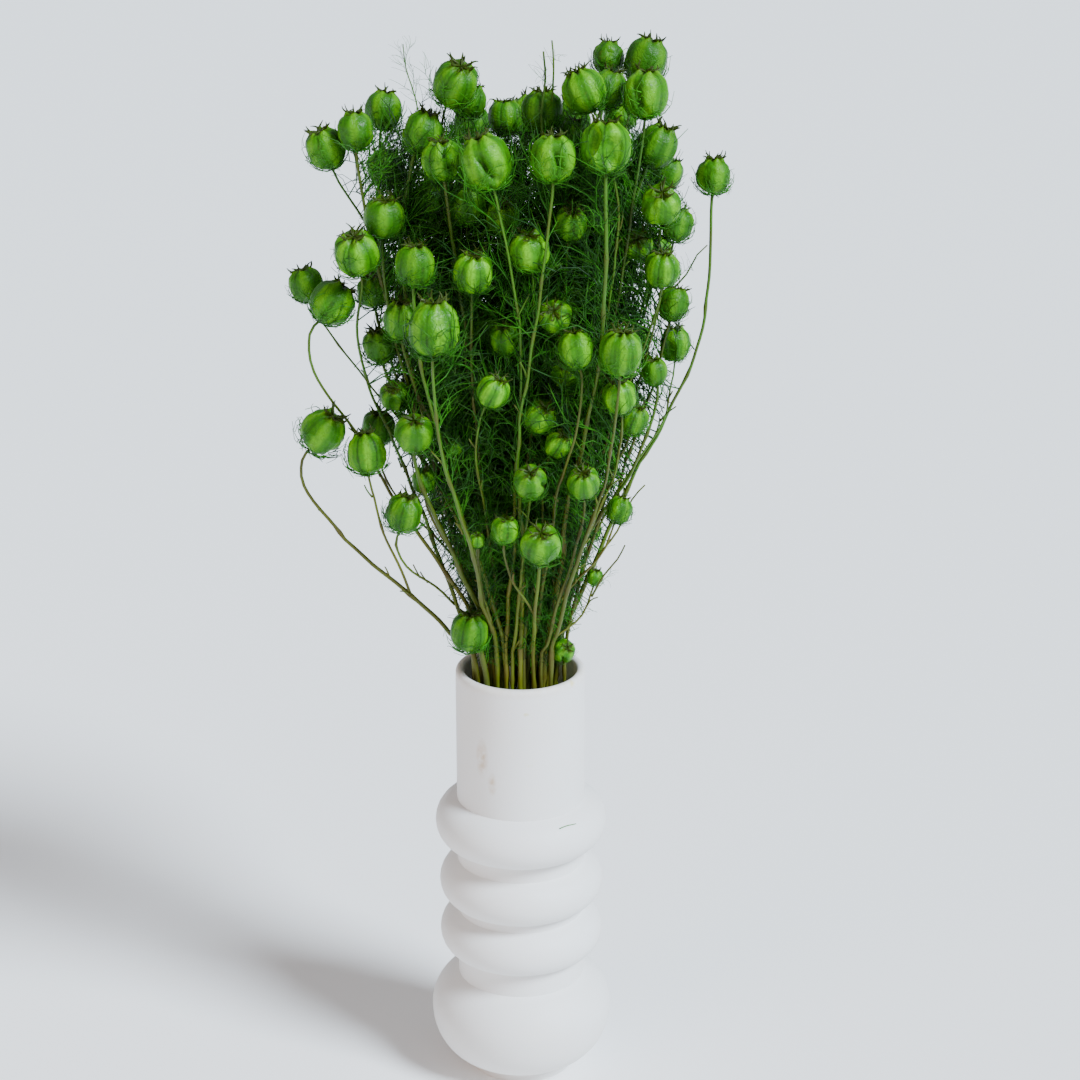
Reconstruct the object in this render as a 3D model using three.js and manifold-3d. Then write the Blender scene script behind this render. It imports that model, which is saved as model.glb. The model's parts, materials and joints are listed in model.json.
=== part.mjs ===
// A bunch of dried love-in-a-mist (nigella) seed pods standing in a ceramic bubble vase.
// Units are millimetres, +Z is up, and the origin is the middle of the vase's foot.
// Each cut sprig is one closed solid: its stem, its side branches and the pods they carry.
import * as THREE from "three";
import { mergeVertices } from "three/addons/utils/BufferGeometryUtils.js";
import Module from "manifold-3d";

const wasm = await Module();
wasm.setup();

// ---- Vase ----------------------------------------------------------------
const VASE_HEIGHT = 267.5;
const NECK_RADIUS = 39;
const WALL = 5.5;
const LIP_RADIUS = WALL / 2;
const FOOT_RADIUS = 32;
const FLOOR_THICKNESS = 9;
const VASE_SIDES = 24;
// The rounded rings, from the lowest up: middle height, outermost radius and section radius.
const RINGS = [
  { height: 93.5, outer: 50, section: 15 },
  { height: 127.5, outer: 50, section: 15 },
  { height: 167.5, outer: 52.2, section: 16 },
];
const BULB = { height: 40, outer: 55.7, section: 26, drop: 33 };
const ARC_PIECES = 3; // straight pieces that stand for each arc of the outline
const LEAST_STEP = 0.05; // outline points nearer than this are one point

// ---- Sprigs --------------------------------------------------------------
const POD_SIDES = 7;
const STEM_SIDES = 4;
const STEM_RADIUS = 1.3;
const BRANCH_RADIUS = 0.9;
const STEM_POINTS = 6; // straight pieces of a stem between the vase's mouth and its pod
const BRANCH_POINTS = 3; // straight pieces of a side branch
const FORK_SHARE = 0.5; // where a side branch leaves, as a share of the climb to its pod
const POD_NECK = 10; // straight length of stem below a pod
const POD_SEAT = 0.9; // how far below a pod's middle its stem ends, in pod radii
const SWING = 0.3; // share of a route over which it swings round to an upright pod's axis
const UPRIGHT = 0.4; // how far a route's first part is held back from leaning
// A stem crosses the mouth at a share of its pod's offset, moved by the scatter. The
// share is FAN for pods from the height FAN_HIGH up, and grows to FAN_LOW lower down.
const FAN = { x: 0.23, y: 0.28 };
const FAN_LOW = 0.8;
const FAN_HIGH = 400;
const FAN_DROP = 100; // from this far below FAN_HIGH down, the share is FAN_LOW
const SCATTER = 5;
const MOUTH_MARGIN = 4; // least distance from the mouth's wall to a stem's starting place
const VASE_MIDDLE = 0.55; // height of a stem's point inside the vase, as a share of the vase
const STEM_FOOT = 14; // height of a stem's cut end above the table
const MOUTH_CLEAR = 4; // height above the lip where a stem is held inside the mouth
const CLEARANCE = 1.1; // least free gap between two sprigs
const SETTLE_ROUNDS = 550;
const SPRING_ROUNDS = 100; // the first rounds, in which the stems also spring back to their bends
const SPRING = 0.08;
const POD_PUSH = 1.1; // share of a shortfall that a stem moves away from a pod in one round
const STEM_PUSH = 0.7; // share of a shortfall that each of two stems moves in one round
const NEAREST_PASSES = 4; // passes in finding where two segments are nearest
const WELD = 1e-3; // points nearer than this are one point of a solid
const TURN = 2.35; // radians between the starting places of one stem and the next
// A free column at the back of the vase, where another stem or water can go in.
const FREE_COLUMN = { x: 0, y: 21, radius: 11.5 };

// A pod's outline in units of its radius, from its base up: [radius, height].
const POD_OUTLINE = [
  [0, -1.02],
  [0.72, -0.7],
  [1, 0],
  [0.72, 0.7],
  [0.3, 0.97],
  [0.42, 1.24],
  [0, 1.02],
];
const CROWN_HEIGHT = 1.12;
const CROWN_RADIUS = 0.45;

// Every pod is [right, back, up, diameter, lean to the right, lean to the back].
// The leans are the sideways share of the way that the crown points. A row is one
// sprig: the pod at the end of its stem comes first, then those on its side branches.
const SPRIGS = [
  [[-106, -10, 583, 22, -0.35, -0.1], [-122, 10, 500, 20, -0.3, 0.1]],
  [[-88, -20, 593, 21, -0.05, 0.1], [-83, -5, 500, 20, -0.1, -0.2]],
  [[-76, 15, 599, 21, 0.15, 0.15], [-82, 0, 417, 20, 0.1, -0.2]],
  [[-59, -25, 592, 23, 0.35, 0.1], [-80, -15, 470, 20, -0.2, -0.2]],
  [[-35, -20, 620, 25, 0.35, -0.45], [-50, -10, 552, 19, -0.1, -0.1]],
  [[-28, 15, 604, 19, 0.3, 0.2], [-36, -30, 415, 9, 0, -0.5]],
  [[-43, -35, 582, 22, -0.1, -0.1], [-65, -35, 491, 22, 0, -0.2]],
  [[-16, -55, 584, 28, -0.3, 0.05]],
  [[-8, 25, 593, 20, 0, 0.2], [-18, -10, 479, 20, 0, 0]],
  [[13, -10, 604, 22, 0, 0.05], [30, 0, 590, 14, 0.1, 0.1]],
  [[15, -55, 587, 25, 0.02, 0.05]],
  [[36, -30, 618, 24, -0.45, 0.15], [30, -35, 547, 19, 0.1, -0.5]],
  [[49, -8, 615, 22, 0.35, 0.15], [29, -15, 499, 19, 0, -0.2]],
  [[50, 35, 625, 19, 0.1, 0.3], [84, 15, 563, 17, 0.4, 0.1]],
  [[71, 25, 625, 24, 0.3, 0.1]],
  [[77, -25, 615, 25, 0.05, 0.05], [45, -15, 523, 14, 0.2, -0.6]],
  [[47, -55, 592, 27, 0, 0.25], [22, -35, 460, 17, 0.1, -0.8]],
  [[60, -5, 564, 17, 0.1, -0.1], [17, -25, 441, 13, 0.2, -1]],
  [[79, -15, 584, 23, 0.45, 0.05], [73, -25, 458, 15, -0.1, -0.1]],
  [[75, -35, 556, 23, 0, -0.7]],
  [[109, 0, 565, 21, 0.05, 0.1], [91, -5, 494, 18, 0.25, 0.2]],
  [[90, -15, 541, 19, 0.2, 0.05], [88, -5, 469, 18, 0, 0.05]],
  [[66, -20, 531, 18, -0.05, -1.5], [65, -25, 430, 17, 0.3, -0.3]],
  [[79, -35, 520, 20, 0.05, -0.15], [57, -30, 377, 16, 0.35, 0.2]],
  [[57, -60, 481, 24, 0.05, -0.1], [56, -50, 451, 20, -0.1, -0.2]],
  [[32, -60, 481, 20, -0.15, 0.1], [22, -45, 422, 17, 0.5, -0.7]],
  [[20, -45, 496, 19, -0.2, -1.4], [12, -45, 438, 19, 0.4, -0.8]],
  [[6, -50, 534, 22, -0.1, -0.3], [-8, -35, 480, 17, -0.1, -0.4]],
  [[-25, -50, 522, 22, 0.05, -0.25], [-14, -60, 457, 18, 0.45, -0.3]],
  [[-57, -50, 526, 22, 0.05, 0], [-70, -20, 443, 17, -0.1, -0.8]],
  [[-74, -30, 548, 23, 0.1, -0.15], [-55, -25, 393, 15, -0.1, -0.3]],
  [[-105, -35, 530, 25, -0.1, -0.45], [-66, -35, 377, 23, 0.25, -0.1]],
  [[-105, -25, 498, 25, 0.75, 0.35]],
  [[-46, -80, 498, 30, 0.02, 0.05], [-24, -50, 366, 9, 0, -0.5]],
  [[-112, -30, 424, 27, 0.7, -0.2], [-87, -35, 413, 24, -0.1, 0.1]],
  [[-59, -45, 428, 22, 0.05, -0.5]],
  [[-29, -20, 553, 22, 0, -0.1], [-9, -25, 547, 19, 0.1, -0.5]],
  [[36, -55, 402, 19, -0.05, -0.6], [44, -15, 330, 10, 0.1, -0.2]],
  [[12, -60, 367, 23, 0.05, -0.6], [-8, -55, 374, 16, 0.05, -0.15]],
  [[6, -60, 404, 19, 0, -0.7]],
  [[-30, -26, 300, 23, 0.1, -0.1]],
  [[26, -15, 284, 14, 0.6, -1]],
  // The back of the bunch.
  [[-78, 45, 560, 21, -0.2, 0.2], [-82, 45, 500, 19, -0.2, 0.3]],
  [[-55, 62, 575, 23, -0.1, 0.3], [-66, 68, 525, 20, -0.2, 0.5]],
  [[-28, 72, 580, 22, 0, 0.3], [-40, 82, 528, 20, 0, 0.5], [-52, 68, 465, 17, -0.1, 0.5]],
  [[5, 55, 588, 22, 0.1, 0.2], [-5, 85, 545, 19, 0, 0.4]],
  [[30, 74, 582, 23, 0.1, 0.3], [28, 88, 515, 20, 0.1, 0.5]],
  [[58, 62, 588, 21, 0.2, 0.3], [60, 80, 530, 19, 0.2, 0.4]],
  [[76, 42, 572, 20, 0.3, 0.2], [80, 48, 510, 18, 0.3, 0.3]],
  [[78, 62, 545, 19, 0.2, 0.4], [72, 60, 455, 17, 0.3, 0.4]],
  [[-10, 86, 485, 20, 0, 0.4], [-30, 70, 420, 17, 0, 0.5]],
  [[42, 78, 470, 20, 0.1, 0.4], [38, 64, 395, 16, 0.1, 0.5]],
  [[-62, 58, 420, 19, -0.2, 0.4], [-48, 50, 355, 16, -0.1, 0.4]],
  [[10, 74, 430, 19, 0, 0.4], [5, 55, 345, 16, 0, 0.4]],
  [[60, 50, 410, 18, 0.2, 0.4], [42, 40, 340, 15, 0.1, 0.4]],
];

const MATERIALS = {
  vase: new THREE.MeshStandardMaterial({ color: 0xe9e6e2, roughness: 0.7, metalness: 0 }),
  sprig: new THREE.MeshStandardMaterial({ color: 0x4f8f1f, roughness: 0.6, metalness: 0 }),
};

const MOUTH_RADIUS = NECK_RADIUS - WALL;

// ---- Vase ----------------------------------------------------------------

// Adds the wall's rounded rings to a path, from the bulb up or from the top ring down.
// inset moves the whole wall in towards the axis, which gives the inside of the vase.
function addRings(path, inset, upward) {
  const neck = NECK_RADIUS - inset;
  const rings = upward ? RINGS : [...RINGS].reverse();
  for (const { height, outer, section } of rings) {
    const middle = outer - section;
    const radius = section - inset;
    const reach = Math.acos((neck - middle) / radius);
    if (upward) path.absarc(middle, height, radius, -reach, reach, false);
    else path.absarc(middle, height, radius, reach, -reach, true);
  }
}

// The vase's half section as one closed outline that starts and ends on the axis.
function vaseOutline() {
  const middle = BULB.outer - BULB.section;
  const neck = NECK_RADIUS;
  const bore = MOUTH_RADIUS;
  const cavity = BULB.section - WALL;
  const footAngle = Math.acos((FOOT_RADIUS - middle) / BULB.section);
  const bulbAngle = Math.acos((neck - middle) / BULB.section);
  const boreAngle = Math.acos((bore - middle) / cavity);
  const floorDrop = BULB.height - FLOOR_THICKNESS;

  const path = new THREE.Path();
  path.moveTo(0, 0);
  path.lineTo(FOOT_RADIUS, 0);
  path.absellipse(middle, BULB.height, BULB.section, BULB.drop, -footAngle, 0, false);
  path.absellipse(middle, BULB.height, BULB.section, BULB.section, 0, bulbAngle, false);
  addRings(path, 0, true);
  path.absarc(neck - LIP_RADIUS, VASE_HEIGHT - LIP_RADIUS, LIP_RADIUS, 0, Math.PI, false);
  addRings(path, WALL, false);
  path.absellipse(middle, BULB.height, cavity, cavity, boreAngle, 0, true);
  path.absellipse(middle, BULB.height, cavity, floorDrop, 0, -Math.PI / 2, true);
  path.lineTo(0, FLOOR_THICKNESS);
  return path;
}

function vaseMesh() {
  const points = vaseOutline().getPoints(ARC_PIECES);
  points[0].x = 0;
  const geometry = new THREE.LatheGeometry(dropRepeats(points), VASE_SIDES);
  geometry.rotateX(Math.PI / 2); // the lathe turns about Y, and the vase stands along Z
  const mesh = new THREE.Mesh(geometry, MATERIALS.vase);
  mesh.name = "vase";
  return mesh;
}

function dropRepeats(points) {
  return points.filter((p, i) => i === 0 || p.distanceTo(points[i - 1]) > LEAST_STEP);
}

// ---- Sprigs: where everything is -----------------------------------------

function readPod([x, y, z, diameter, leanX, leanY]) {
  return {
    centre: new THREE.Vector3(x, y, z),
    radius: diameter / 2,
    axis: new THREE.Vector3(leanX, leanY, 1).normalize(),
  };
}

const podBase = (pod) => pod.centre.clone().addScaledVector(pod.axis, -POD_SEAT * pod.radius);
const podCrown = (pod) => pod.centre.clone().addScaledVector(pod.axis, CROWN_HEIGHT * pod.radius);

// The route from start to a pod: a curve that climbs first, leans over and swings round
// to meet the pod's axis, then the straight neck that enters the pod along that axis.
function routeTo(pod, start, pieces) {
  const neck = podBase(pod).addScaledVector(pod.axis, -POD_NECK);
  const climb = start.clone().lerp(neck, SWING);
  climb.x = THREE.MathUtils.lerp(climb.x, start.x, UPRIGHT);
  climb.y = THREE.MathUtils.lerp(climb.y, start.y, UPRIGHT);
  // The more a pod leans, the shorter its swing.
  const reach = SWING * pod.axis.z ** 2 * start.distanceTo(neck);
  const swing = neck.clone().addScaledVector(pod.axis, -reach);
  const curve = new THREE.CubicBezierCurve3(start, climb, swing, neck);
  return [...curve.getPoints(pieces), podBase(pod)];
}

// A stem stands in the vase, leans on its mouth and runs up to its pod.
function stemRoute(pod, number) {
  const low = THREE.MathUtils.clamp((FAN_HIGH - pod.centre.z) / FAN_DROP, 0, 1);
  const way = new THREE.Vector2(
    pod.centre.x * THREE.MathUtils.lerp(FAN.x, FAN_LOW, low),
    pod.centre.y * THREE.MathUtils.lerp(FAN.y, FAN_LOW, low),
  );
  const turn = number * TURN;
  way.add(new THREE.Vector2(SCATTER * Math.cos(turn), SCATTER * Math.sin(turn)));
  way.clampLength(0, MOUTH_RADIUS - MOUTH_MARGIN);
  const mouth = new THREE.Vector3(way.x, way.y, VASE_HEIGHT + MOUTH_CLEAR);
  const middle = new THREE.Vector3(way.x, way.y, VASE_HEIGHT * VASE_MIDDLE);
  const foot = new THREE.Vector3(way.x, way.y, STEM_FOOT);
  return [foot, middle, ...routeTo(pod, mouth, STEM_POINTS)];
}

const MOUTH_POINT = 2; // index of the stem point that is held inside the mouth

// A side branch leaves the stem part of the way up to its own pod.
function branchRoute(pod, stem) {
  const top = podBase(pod).z - POD_NECK;
  const mouth = stem.points[MOUTH_POINT].z;
  const height = mouth + (top - mouth) * FORK_SHARE;
  const above = stem.points.findIndex((p, i) => i > MOUTH_POINT && p.z > height);
  const fork = Math.max(MOUTH_POINT, above - 1);
  return { fork, points: routeTo(pod, stem.points[fork], BRANCH_POINTS) };
}

// A stem or a side branch: the points of its middle line, its radius and its own pod.
class Limb {
  constructor(points, radius, pod, stem = null, fork = 0) {
    Object.assign(this, { points, radius, pod, stem, fork });
    this.bends = points.map((p, i) => p.clone().sub(this.chordPoint(i)));
  }

  // The point on the line between a point's two neighbours that is level with it.
  chordPoint(i) {
    const a = this.points[Math.max(i - 1, 0)];
    const b = this.points[Math.min(i + 1, this.points.length - 1)];
    const share = (this.points[i].z - a.z) / (b.z - a.z || 1);
    return a.clone().lerp(b, THREE.MathUtils.clamp(share, 0, 1));
  }

  // Moves one point sideways. The end moves with its pod, and a fork with its stem.
  push(i, way, amount) {
    if (i >= this.points.length - 2) pushLevel(this.pod.centre, way, amount / 2);
    else if (i === 0 && this.stem) this.stem.push(this.fork, way, amount / 2);
    else pushLevel(this.points[i], way, amount);
  }

  pushSegment(i, share, way, amount) {
    this.push(i, way, amount * (1 - share));
    this.push(i + 1, way, amount * share);
  }

  // Ties the end to its pod, and a branch's start to its stem.
  tieEnds() {
    const last = this.points.length - 1;
    this.points[last].copy(podBase(this.pod));
    this.points[last - 1].copy(podBase(this.pod).addScaledVector(this.pod.axis, -POD_NECK));
    if (this.stem) this.points[0].copy(this.stem.points[this.fork]);
  }

  // Springs back a little towards the bends that it had at first.
  spring() {
    for (let i = 1; i < this.points.length - 2; i++) {
      const rest = this.chordPoint(i).add(this.bends[i]);
      this.points[i].x += (rest.x - this.points[i].x) * SPRING;
      this.points[i].y += (rest.y - this.points[i].y) * SPRING;
    }
  }
}

function readSprig(row, number) {
  const pods = row.map(readPod);
  const stem = new Limb(stemRoute(pods[0], number), STEM_RADIUS, pods[0]);
  const branches = pods.slice(1).map((pod) => {
    const { fork, points } = branchRoute(pod, stem);
    return new Limb(points, BRANCH_RADIUS, pod, stem, fork);
  });
  return { pods, limbs: [stem, ...branches] };
}

// ---- Sprigs: settling clear of each other --------------------------------

// Moves point sideways by amount, along the level part of way.
function pushLevel(point, way, amount) {
  const level = Math.hypot(way.x, way.y) || 1;
  point.x += (way.x / level) * amount;
  point.y += (way.y / level) * amount;
}

// Where on segment ab the point p is nearest, as a share from a to b.
function shareNearest(a, b, p) {
  const ab = b.clone().sub(a);
  return THREE.MathUtils.clamp(p.clone().sub(a).dot(ab) / (ab.lengthSq() || 1), 0, 1);
}

// The shares along two segments where they are nearest to each other.
function nearestShares(a, b, c, d) {
  let s = 0.5;
  let t = 0.5;
  for (let i = 0; i < NEAREST_PASSES; i++) {
    t = shareNearest(c, d, a.clone().lerp(b, s));
    s = shareNearest(a, b, c.clone().lerp(d, t));
  }
  return [s, t];
}

function spreadPods(pods) {
  pods.forEach((a, i) =>
    pods.slice(i + 1).forEach((b) => {
      for (const [pa, ra] of podBalls(a))
        for (const [pb, rb] of podBalls(b)) {
          const way = pb.clone().sub(pa);
          const short = ra + rb + CLEARANCE - way.length();
          if (short <= 0) continue;
          way.setLength(short / 2);
          a.centre.sub(way);
          b.centre.add(way);
        }
    }),
  );
}

const podBalls = (pod) => [
  [pod.centre, pod.radius],
  [podCrown(pod), pod.radius * CROWN_RADIUS],
];

function clearOfPod(limb, i, pod) {
  const [a, b] = [limb.points[i], limb.points[i + 1]];
  for (const [middle, radius] of podBalls(pod)) {
    const share = shareNearest(a, b, middle);
    const way = a.clone().lerp(b, share).sub(middle);
    const short = radius + limb.radius + CLEARANCE - way.length();
    if (short > 0) limb.pushSegment(i, share, way, short * POD_PUSH);
  }
}

function clearOfSegment(limb, i, other, j) {
  const [a, b, c, d] = [limb.points[i], limb.points[i + 1], other.points[j], other.points[j + 1]];
  const reach = limb.radius + other.radius + CLEARANCE;
  if (Math.max(a.z, b.z) + reach < Math.min(c.z, d.z)) return;
  if (Math.max(c.z, d.z) + reach < Math.min(a.z, b.z)) return;
  const [s, t] = nearestShares(a, b, c, d);
  const way = a.clone().lerp(b, s).sub(c.clone().lerp(d, t));
  const short = reach - way.length();
  if (short <= 0) return;
  limb.pushSegment(i, s, way, short * STEM_PUSH);
  other.pushSegment(j, t, way, -short * STEM_PUSH);
}

// Keeps a stem inside the vase's mouth and out of the free column.
function holdInVase(limb) {
  const room = MOUTH_RADIUS - limb.radius - CLEARANCE;
  limb.points.forEach((p, i) => {
    if (i > MOUTH_POINT) return;
    const off = Math.hypot(p.x, p.y);
    if (off > room) pushLevel(p, p.clone().negate(), off - room);
    const way = new THREE.Vector3(p.x - FREE_COLUMN.x, p.y - FREE_COLUMN.y, 0);
    const short = FREE_COLUMN.radius + limb.radius + CLEARANCE - way.length();
    if (short > 0) pushLevel(p, way, short);
  });
}

const sameSprig = (a, b) => (a.stem ?? a) === (b.stem ?? b);

function clearOfRest(limb, pods, others) {
  for (let i = 0; i < limb.points.length - 1; i++) {
    for (const pod of pods) if (pod !== limb.pod) clearOfPod(limb, i, pod);
    for (const other of others) {
      if (sameSprig(limb, other)) continue;
      for (let j = 0; j < other.points.length - 1; j++) clearOfSegment(limb, i, other, j);
    }
  }
}

// Moves the sprigs apart a little at a time until they all stand clear of each other.
function settle(sprigs) {
  const pods = sprigs.flatMap((s) => s.pods);
  const limbs = sprigs.flatMap((s) => s.limbs);
  for (let round = 0; round < SETTLE_ROUNDS; round++) {
    spreadPods(pods);
    limbs.forEach((limb) => limb.tieEnds());
    limbs.forEach((limb, n) => clearOfRest(limb, pods, limbs.slice(n + 1)));
    limbs.filter((limb) => !limb.stem).forEach(holdInVase);
    if (round < SPRING_ROUNDS) limbs.forEach((limb) => limb.spring());
    limbs.forEach((limb) => limb.tieEnds());
  }
}

// ---- Sprigs: their solids ------------------------------------------------

function solidFrom(geometry) {
  geometry.deleteAttribute("normal");
  geometry.deleteAttribute("uv");
  const merged = mergeVertices(geometry, WELD);
  return new wasm.Manifold(
    new wasm.Mesh({
      numProp: 3,
      vertProperties: merged.attributes.position.array,
      triVerts: new Uint32Array(merged.index.array),
    }),
  );
}

// A curve whose rings fall on its own points, so the solid has the settled route.
class Route extends THREE.CatmullRomCurve3 {
  getPointAt(share) {
    return this.getPoint(share);
  }

  getTangentAt(share) {
    return this.getTangent(share);
  }
}

function limbSolid(limb) {
  const section = new THREE.Shape(
    Array.from({ length: STEM_SIDES }, (_, i) => {
      const angle = (2 * Math.PI * i) / STEM_SIDES;
      return new THREE.Vector2(Math.cos(angle), Math.sin(angle)).multiplyScalar(limb.radius);
    }),
  );
  const extrudePath = new Route(limb.points, false, "centripetal");
  const steps = limb.points.length - 1;
  return solidFrom(new THREE.ExtrudeGeometry(section, { steps, extrudePath, bevelEnabled: false }));
}

function podSolid(pod) {
  const outline = POD_OUTLINE.map(([r, h]) => new THREE.Vector2(r * pod.radius, h * pod.radius));
  const geometry = new THREE.LatheGeometry(outline, POD_SIDES);
  const up = new THREE.Vector3(0, 1, 0);
  geometry.applyQuaternion(new THREE.Quaternion().setFromUnitVectors(up, pod.axis));
  geometry.translate(...pod.centre);
  return solidFrom(geometry);
}

function sprigMesh(sprig, number) {
  const solids = [...sprig.limbs.map(limbSolid), ...sprig.pods.map(podSolid)];
  const joined = solids.reduce((whole, solid) => whole.add(solid)).getMesh();
  const geometry = new THREE.BufferGeometry();
  const points = new THREE.BufferAttribute(joined.vertProperties, joined.numProp);
  geometry.setAttribute("position", points);
  geometry.setIndex(new THREE.BufferAttribute(joined.triVerts, 1));
  const mesh = new THREE.Mesh(geometry, MATERIALS.sprig);
  mesh.name = `sprig_${String(number + 1).padStart(2, "0")}`;
  return mesh;
}

// ---- The whole bunch -----------------------------------------------------
const sprigs = SPRIGS.map(readSprig);
settle(sprigs);

const bunch = new THREE.Group();
bunch.add(vaseMesh(), ...sprigs.map(sprigMesh));

export default bunch;
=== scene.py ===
"""Dresses a bunch of dried nigella seed pods that stands in a ringed ceramic vase.

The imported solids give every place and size: the vase's outline, each pod's centre, radius
and lean, and the route of each stem. The pieces made here replace those solids. All
lengths are in metres.
"""

import heapq
import json
import logging
import math
import random
from dataclasses import dataclass, field
from enum import Enum

import bmesh
import bpy
import numpy as np
from mathutils import Matrix, Quaternion, Vector, noise

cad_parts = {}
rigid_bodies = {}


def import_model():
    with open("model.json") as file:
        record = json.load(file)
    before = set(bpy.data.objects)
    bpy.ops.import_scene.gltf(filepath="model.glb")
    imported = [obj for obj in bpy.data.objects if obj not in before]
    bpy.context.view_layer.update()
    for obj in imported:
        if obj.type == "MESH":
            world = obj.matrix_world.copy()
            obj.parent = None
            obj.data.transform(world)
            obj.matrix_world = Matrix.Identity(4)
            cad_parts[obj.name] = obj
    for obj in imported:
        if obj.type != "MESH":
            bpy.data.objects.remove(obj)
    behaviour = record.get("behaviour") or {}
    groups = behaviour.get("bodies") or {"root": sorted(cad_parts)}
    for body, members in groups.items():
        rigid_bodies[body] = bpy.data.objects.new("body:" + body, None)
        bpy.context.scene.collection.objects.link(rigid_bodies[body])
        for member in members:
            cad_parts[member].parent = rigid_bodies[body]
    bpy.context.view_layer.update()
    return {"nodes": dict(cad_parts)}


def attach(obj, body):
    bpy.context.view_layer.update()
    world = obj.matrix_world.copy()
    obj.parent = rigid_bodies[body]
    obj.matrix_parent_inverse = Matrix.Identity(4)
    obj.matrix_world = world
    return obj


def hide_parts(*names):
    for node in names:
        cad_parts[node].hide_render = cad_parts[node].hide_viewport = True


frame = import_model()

log = logging.getLogger("bunch")

MM = 0.001
TURN = 2 * math.pi
WELD = 0.02 * MM  # points nearer than this are one point of a solid
PAINT = "paint"
PAINTED_FROM, PAINTED_TO = 0.26, 0.6  # heights between which the stems' paint goes 0 to 1
NOISE_SEED = 7  # without a seed, the stems' noise vectors differ from run to run


# ---- Selecting, joining and weaving ---------------------------------------


def select_only(*objects: bpy.types.Object) -> None:
    """Selects just these objects and makes the first one active.

    Args:
        objects: what to select.
    """
    bpy.ops.object.select_all(action="DESELECT")
    for piece in objects:
        piece.select_set(True)
    bpy.context.view_layer.objects.active = objects[0] if objects else None


def join_pieces(parts: list[bpy.types.Object], name: str) -> bpy.types.Object:
    """Joins parts into one object.

    Args:
        parts: the objects to join; the first one is kept.
        name: the joined object's name.

    Returns:
        The joined object.
    """
    select_only(*parts)
    if len(parts) > 1:
        bpy.ops.object.join()
    joined = bpy.context.view_layer.objects.active
    joined.name = name
    joined.data.name = name
    return joined


def set_paint(mesh: bpy.types.Mesh, values: np.ndarray) -> None:
    """Stores one vector per vertex that the materials read as their paint.

    Args:
        mesh: the mesh to paint.
        values: an array of shape (vertices, 3).
    """
    layer = mesh.attributes.get(PAINT) or mesh.attributes.new(PAINT, "FLOAT_VECTOR", "POINT")
    layer.data.foreach_set("vector", values.astype(np.float32).ravel())


def get_paint(mesh: bpy.types.Mesh) -> np.ndarray:
    """Reads the paint vectors of a mesh.

    Args:
        mesh: the painted mesh.

    Returns:
        An array of shape (vertices, 3).
    """
    values = np.zeros(len(mesh.vertices) * 3, np.float32)
    mesh.attributes[PAINT].data.foreach_get("vector", values)
    return values.reshape(-1, 3)


def copy_piece(
    master: bpy.types.Object, place: Matrix, channel: int, shade: float
) -> bpy.types.Object:
    """Copies a master shape with its own mesh, puts it in place and shades it.

    Args:
        master: the shape to copy.
        place: where the copy goes.
        channel: which of the paint's three numbers holds the copy's shade.
        shade: the copy's shade, from 0, dark, to 1, light; on the pods it is partly painted shade
            for those deeper in the bunch.

    Returns:
        The copy, whose place is in its mesh.
    """
    mesh = master.data.copy()
    mesh.transform(place)
    paint = get_paint(mesh)
    paint[:, channel] = shade
    set_paint(mesh, paint)
    copy = bpy.data.objects.new(master.name, mesh)
    bpy.context.scene.collection.objects.link(copy)
    return copy


@dataclass
class Strand:
    """A thin round strand.

    Attributes:
        points: its middle line.
        radii: its radius at each point.
        paint: one paint vector for each point.
    """

    points: list[Vector]
    radii: list[float]
    paint: list[tuple[float, float, float]]


class Weaver:
    """Weaves strands into one mesh, ring by ring."""

    def __init__(self, sides: int) -> None:
        """Starts an empty weave.

        Args:
            sides: how many sides each strand has.
        """
        self.sides = sides
        self.verts: list[np.ndarray] = []
        self.faces: list[tuple[int, ...]] = []
        self.paint: list[np.ndarray] = []
        self.count = 0

    def _frames(self, points: np.ndarray) -> tuple[np.ndarray, np.ndarray]:
        """Finds two directions across the strand at each point, without twist.

        Args:
            points: the middle line, shape (n, 3).

        Returns:
            Two arrays of unit vectors, shape (n, 3).
        """
        ahead = np.gradient(points, axis=0)
        ahead /= np.maximum(np.linalg.norm(ahead, axis=1, keepdims=True), 1e-9)
        side = np.cross(ahead[0], (0.0, 1.0, 0.0) if abs(ahead[0][1]) < 0.8 else (1.0, 0.0, 0.0))
        across = np.zeros_like(points)
        for i, way in enumerate(ahead):
            side = side - way * np.dot(side, way)
            side /= max(np.linalg.norm(side), 1e-9)
            across[i] = side
        return across, np.cross(ahead, across)

    def add(self, strand: Strand) -> None:
        """Adds one closed strand to the weave.

        Args:
            strand: the strand.
        """
        points = np.array([tuple(p) for p in strand.points])
        across, up = self._frames(points)
        angles = np.arange(self.sides) * TURN / self.sides
        ring = np.cos(angles)[None, :, None] * across[:, None, :]
        ring = ring + np.sin(angles)[None, :, None] * up[:, None, :]
        ring = points[:, None, :] + ring * np.array(strand.radii)[:, None, None]
        first, n = self.count, self.sides
        for i in range(len(points) - 1):
            a = first + i * n
            for k in range(n):
                m = (k + 1) % n
                self.faces.append((a + k, a + m, a + n + m, a + n + k))
        last = first + (len(points) - 1) * n
        self.faces.append(tuple(range(first + n - 1, first - 1, -1)))
        self.faces.append(tuple(range(last, last + n)))
        self.verts.append(ring.reshape(-1, 3))
        self.paint.append(np.repeat(np.array(strand.paint, float), n, axis=0))
        self.count += len(points) * n

    def make(self, name: str) -> bpy.types.Object:
        """Makes the woven mesh object.

        Args:
            name: the object's name.

        Returns:
            The new object, smooth shaded.
        """
        mesh = bpy.data.meshes.new(name)
        mesh.from_pydata(np.concatenate(self.verts).tolist(), [], self.faces)
        set_paint(mesh, np.concatenate(self.paint))
        mesh.shade_smooth()
        woven = bpy.data.objects.new(name, mesh)
        bpy.context.scene.collection.objects.link(woven)
        return woven


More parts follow.
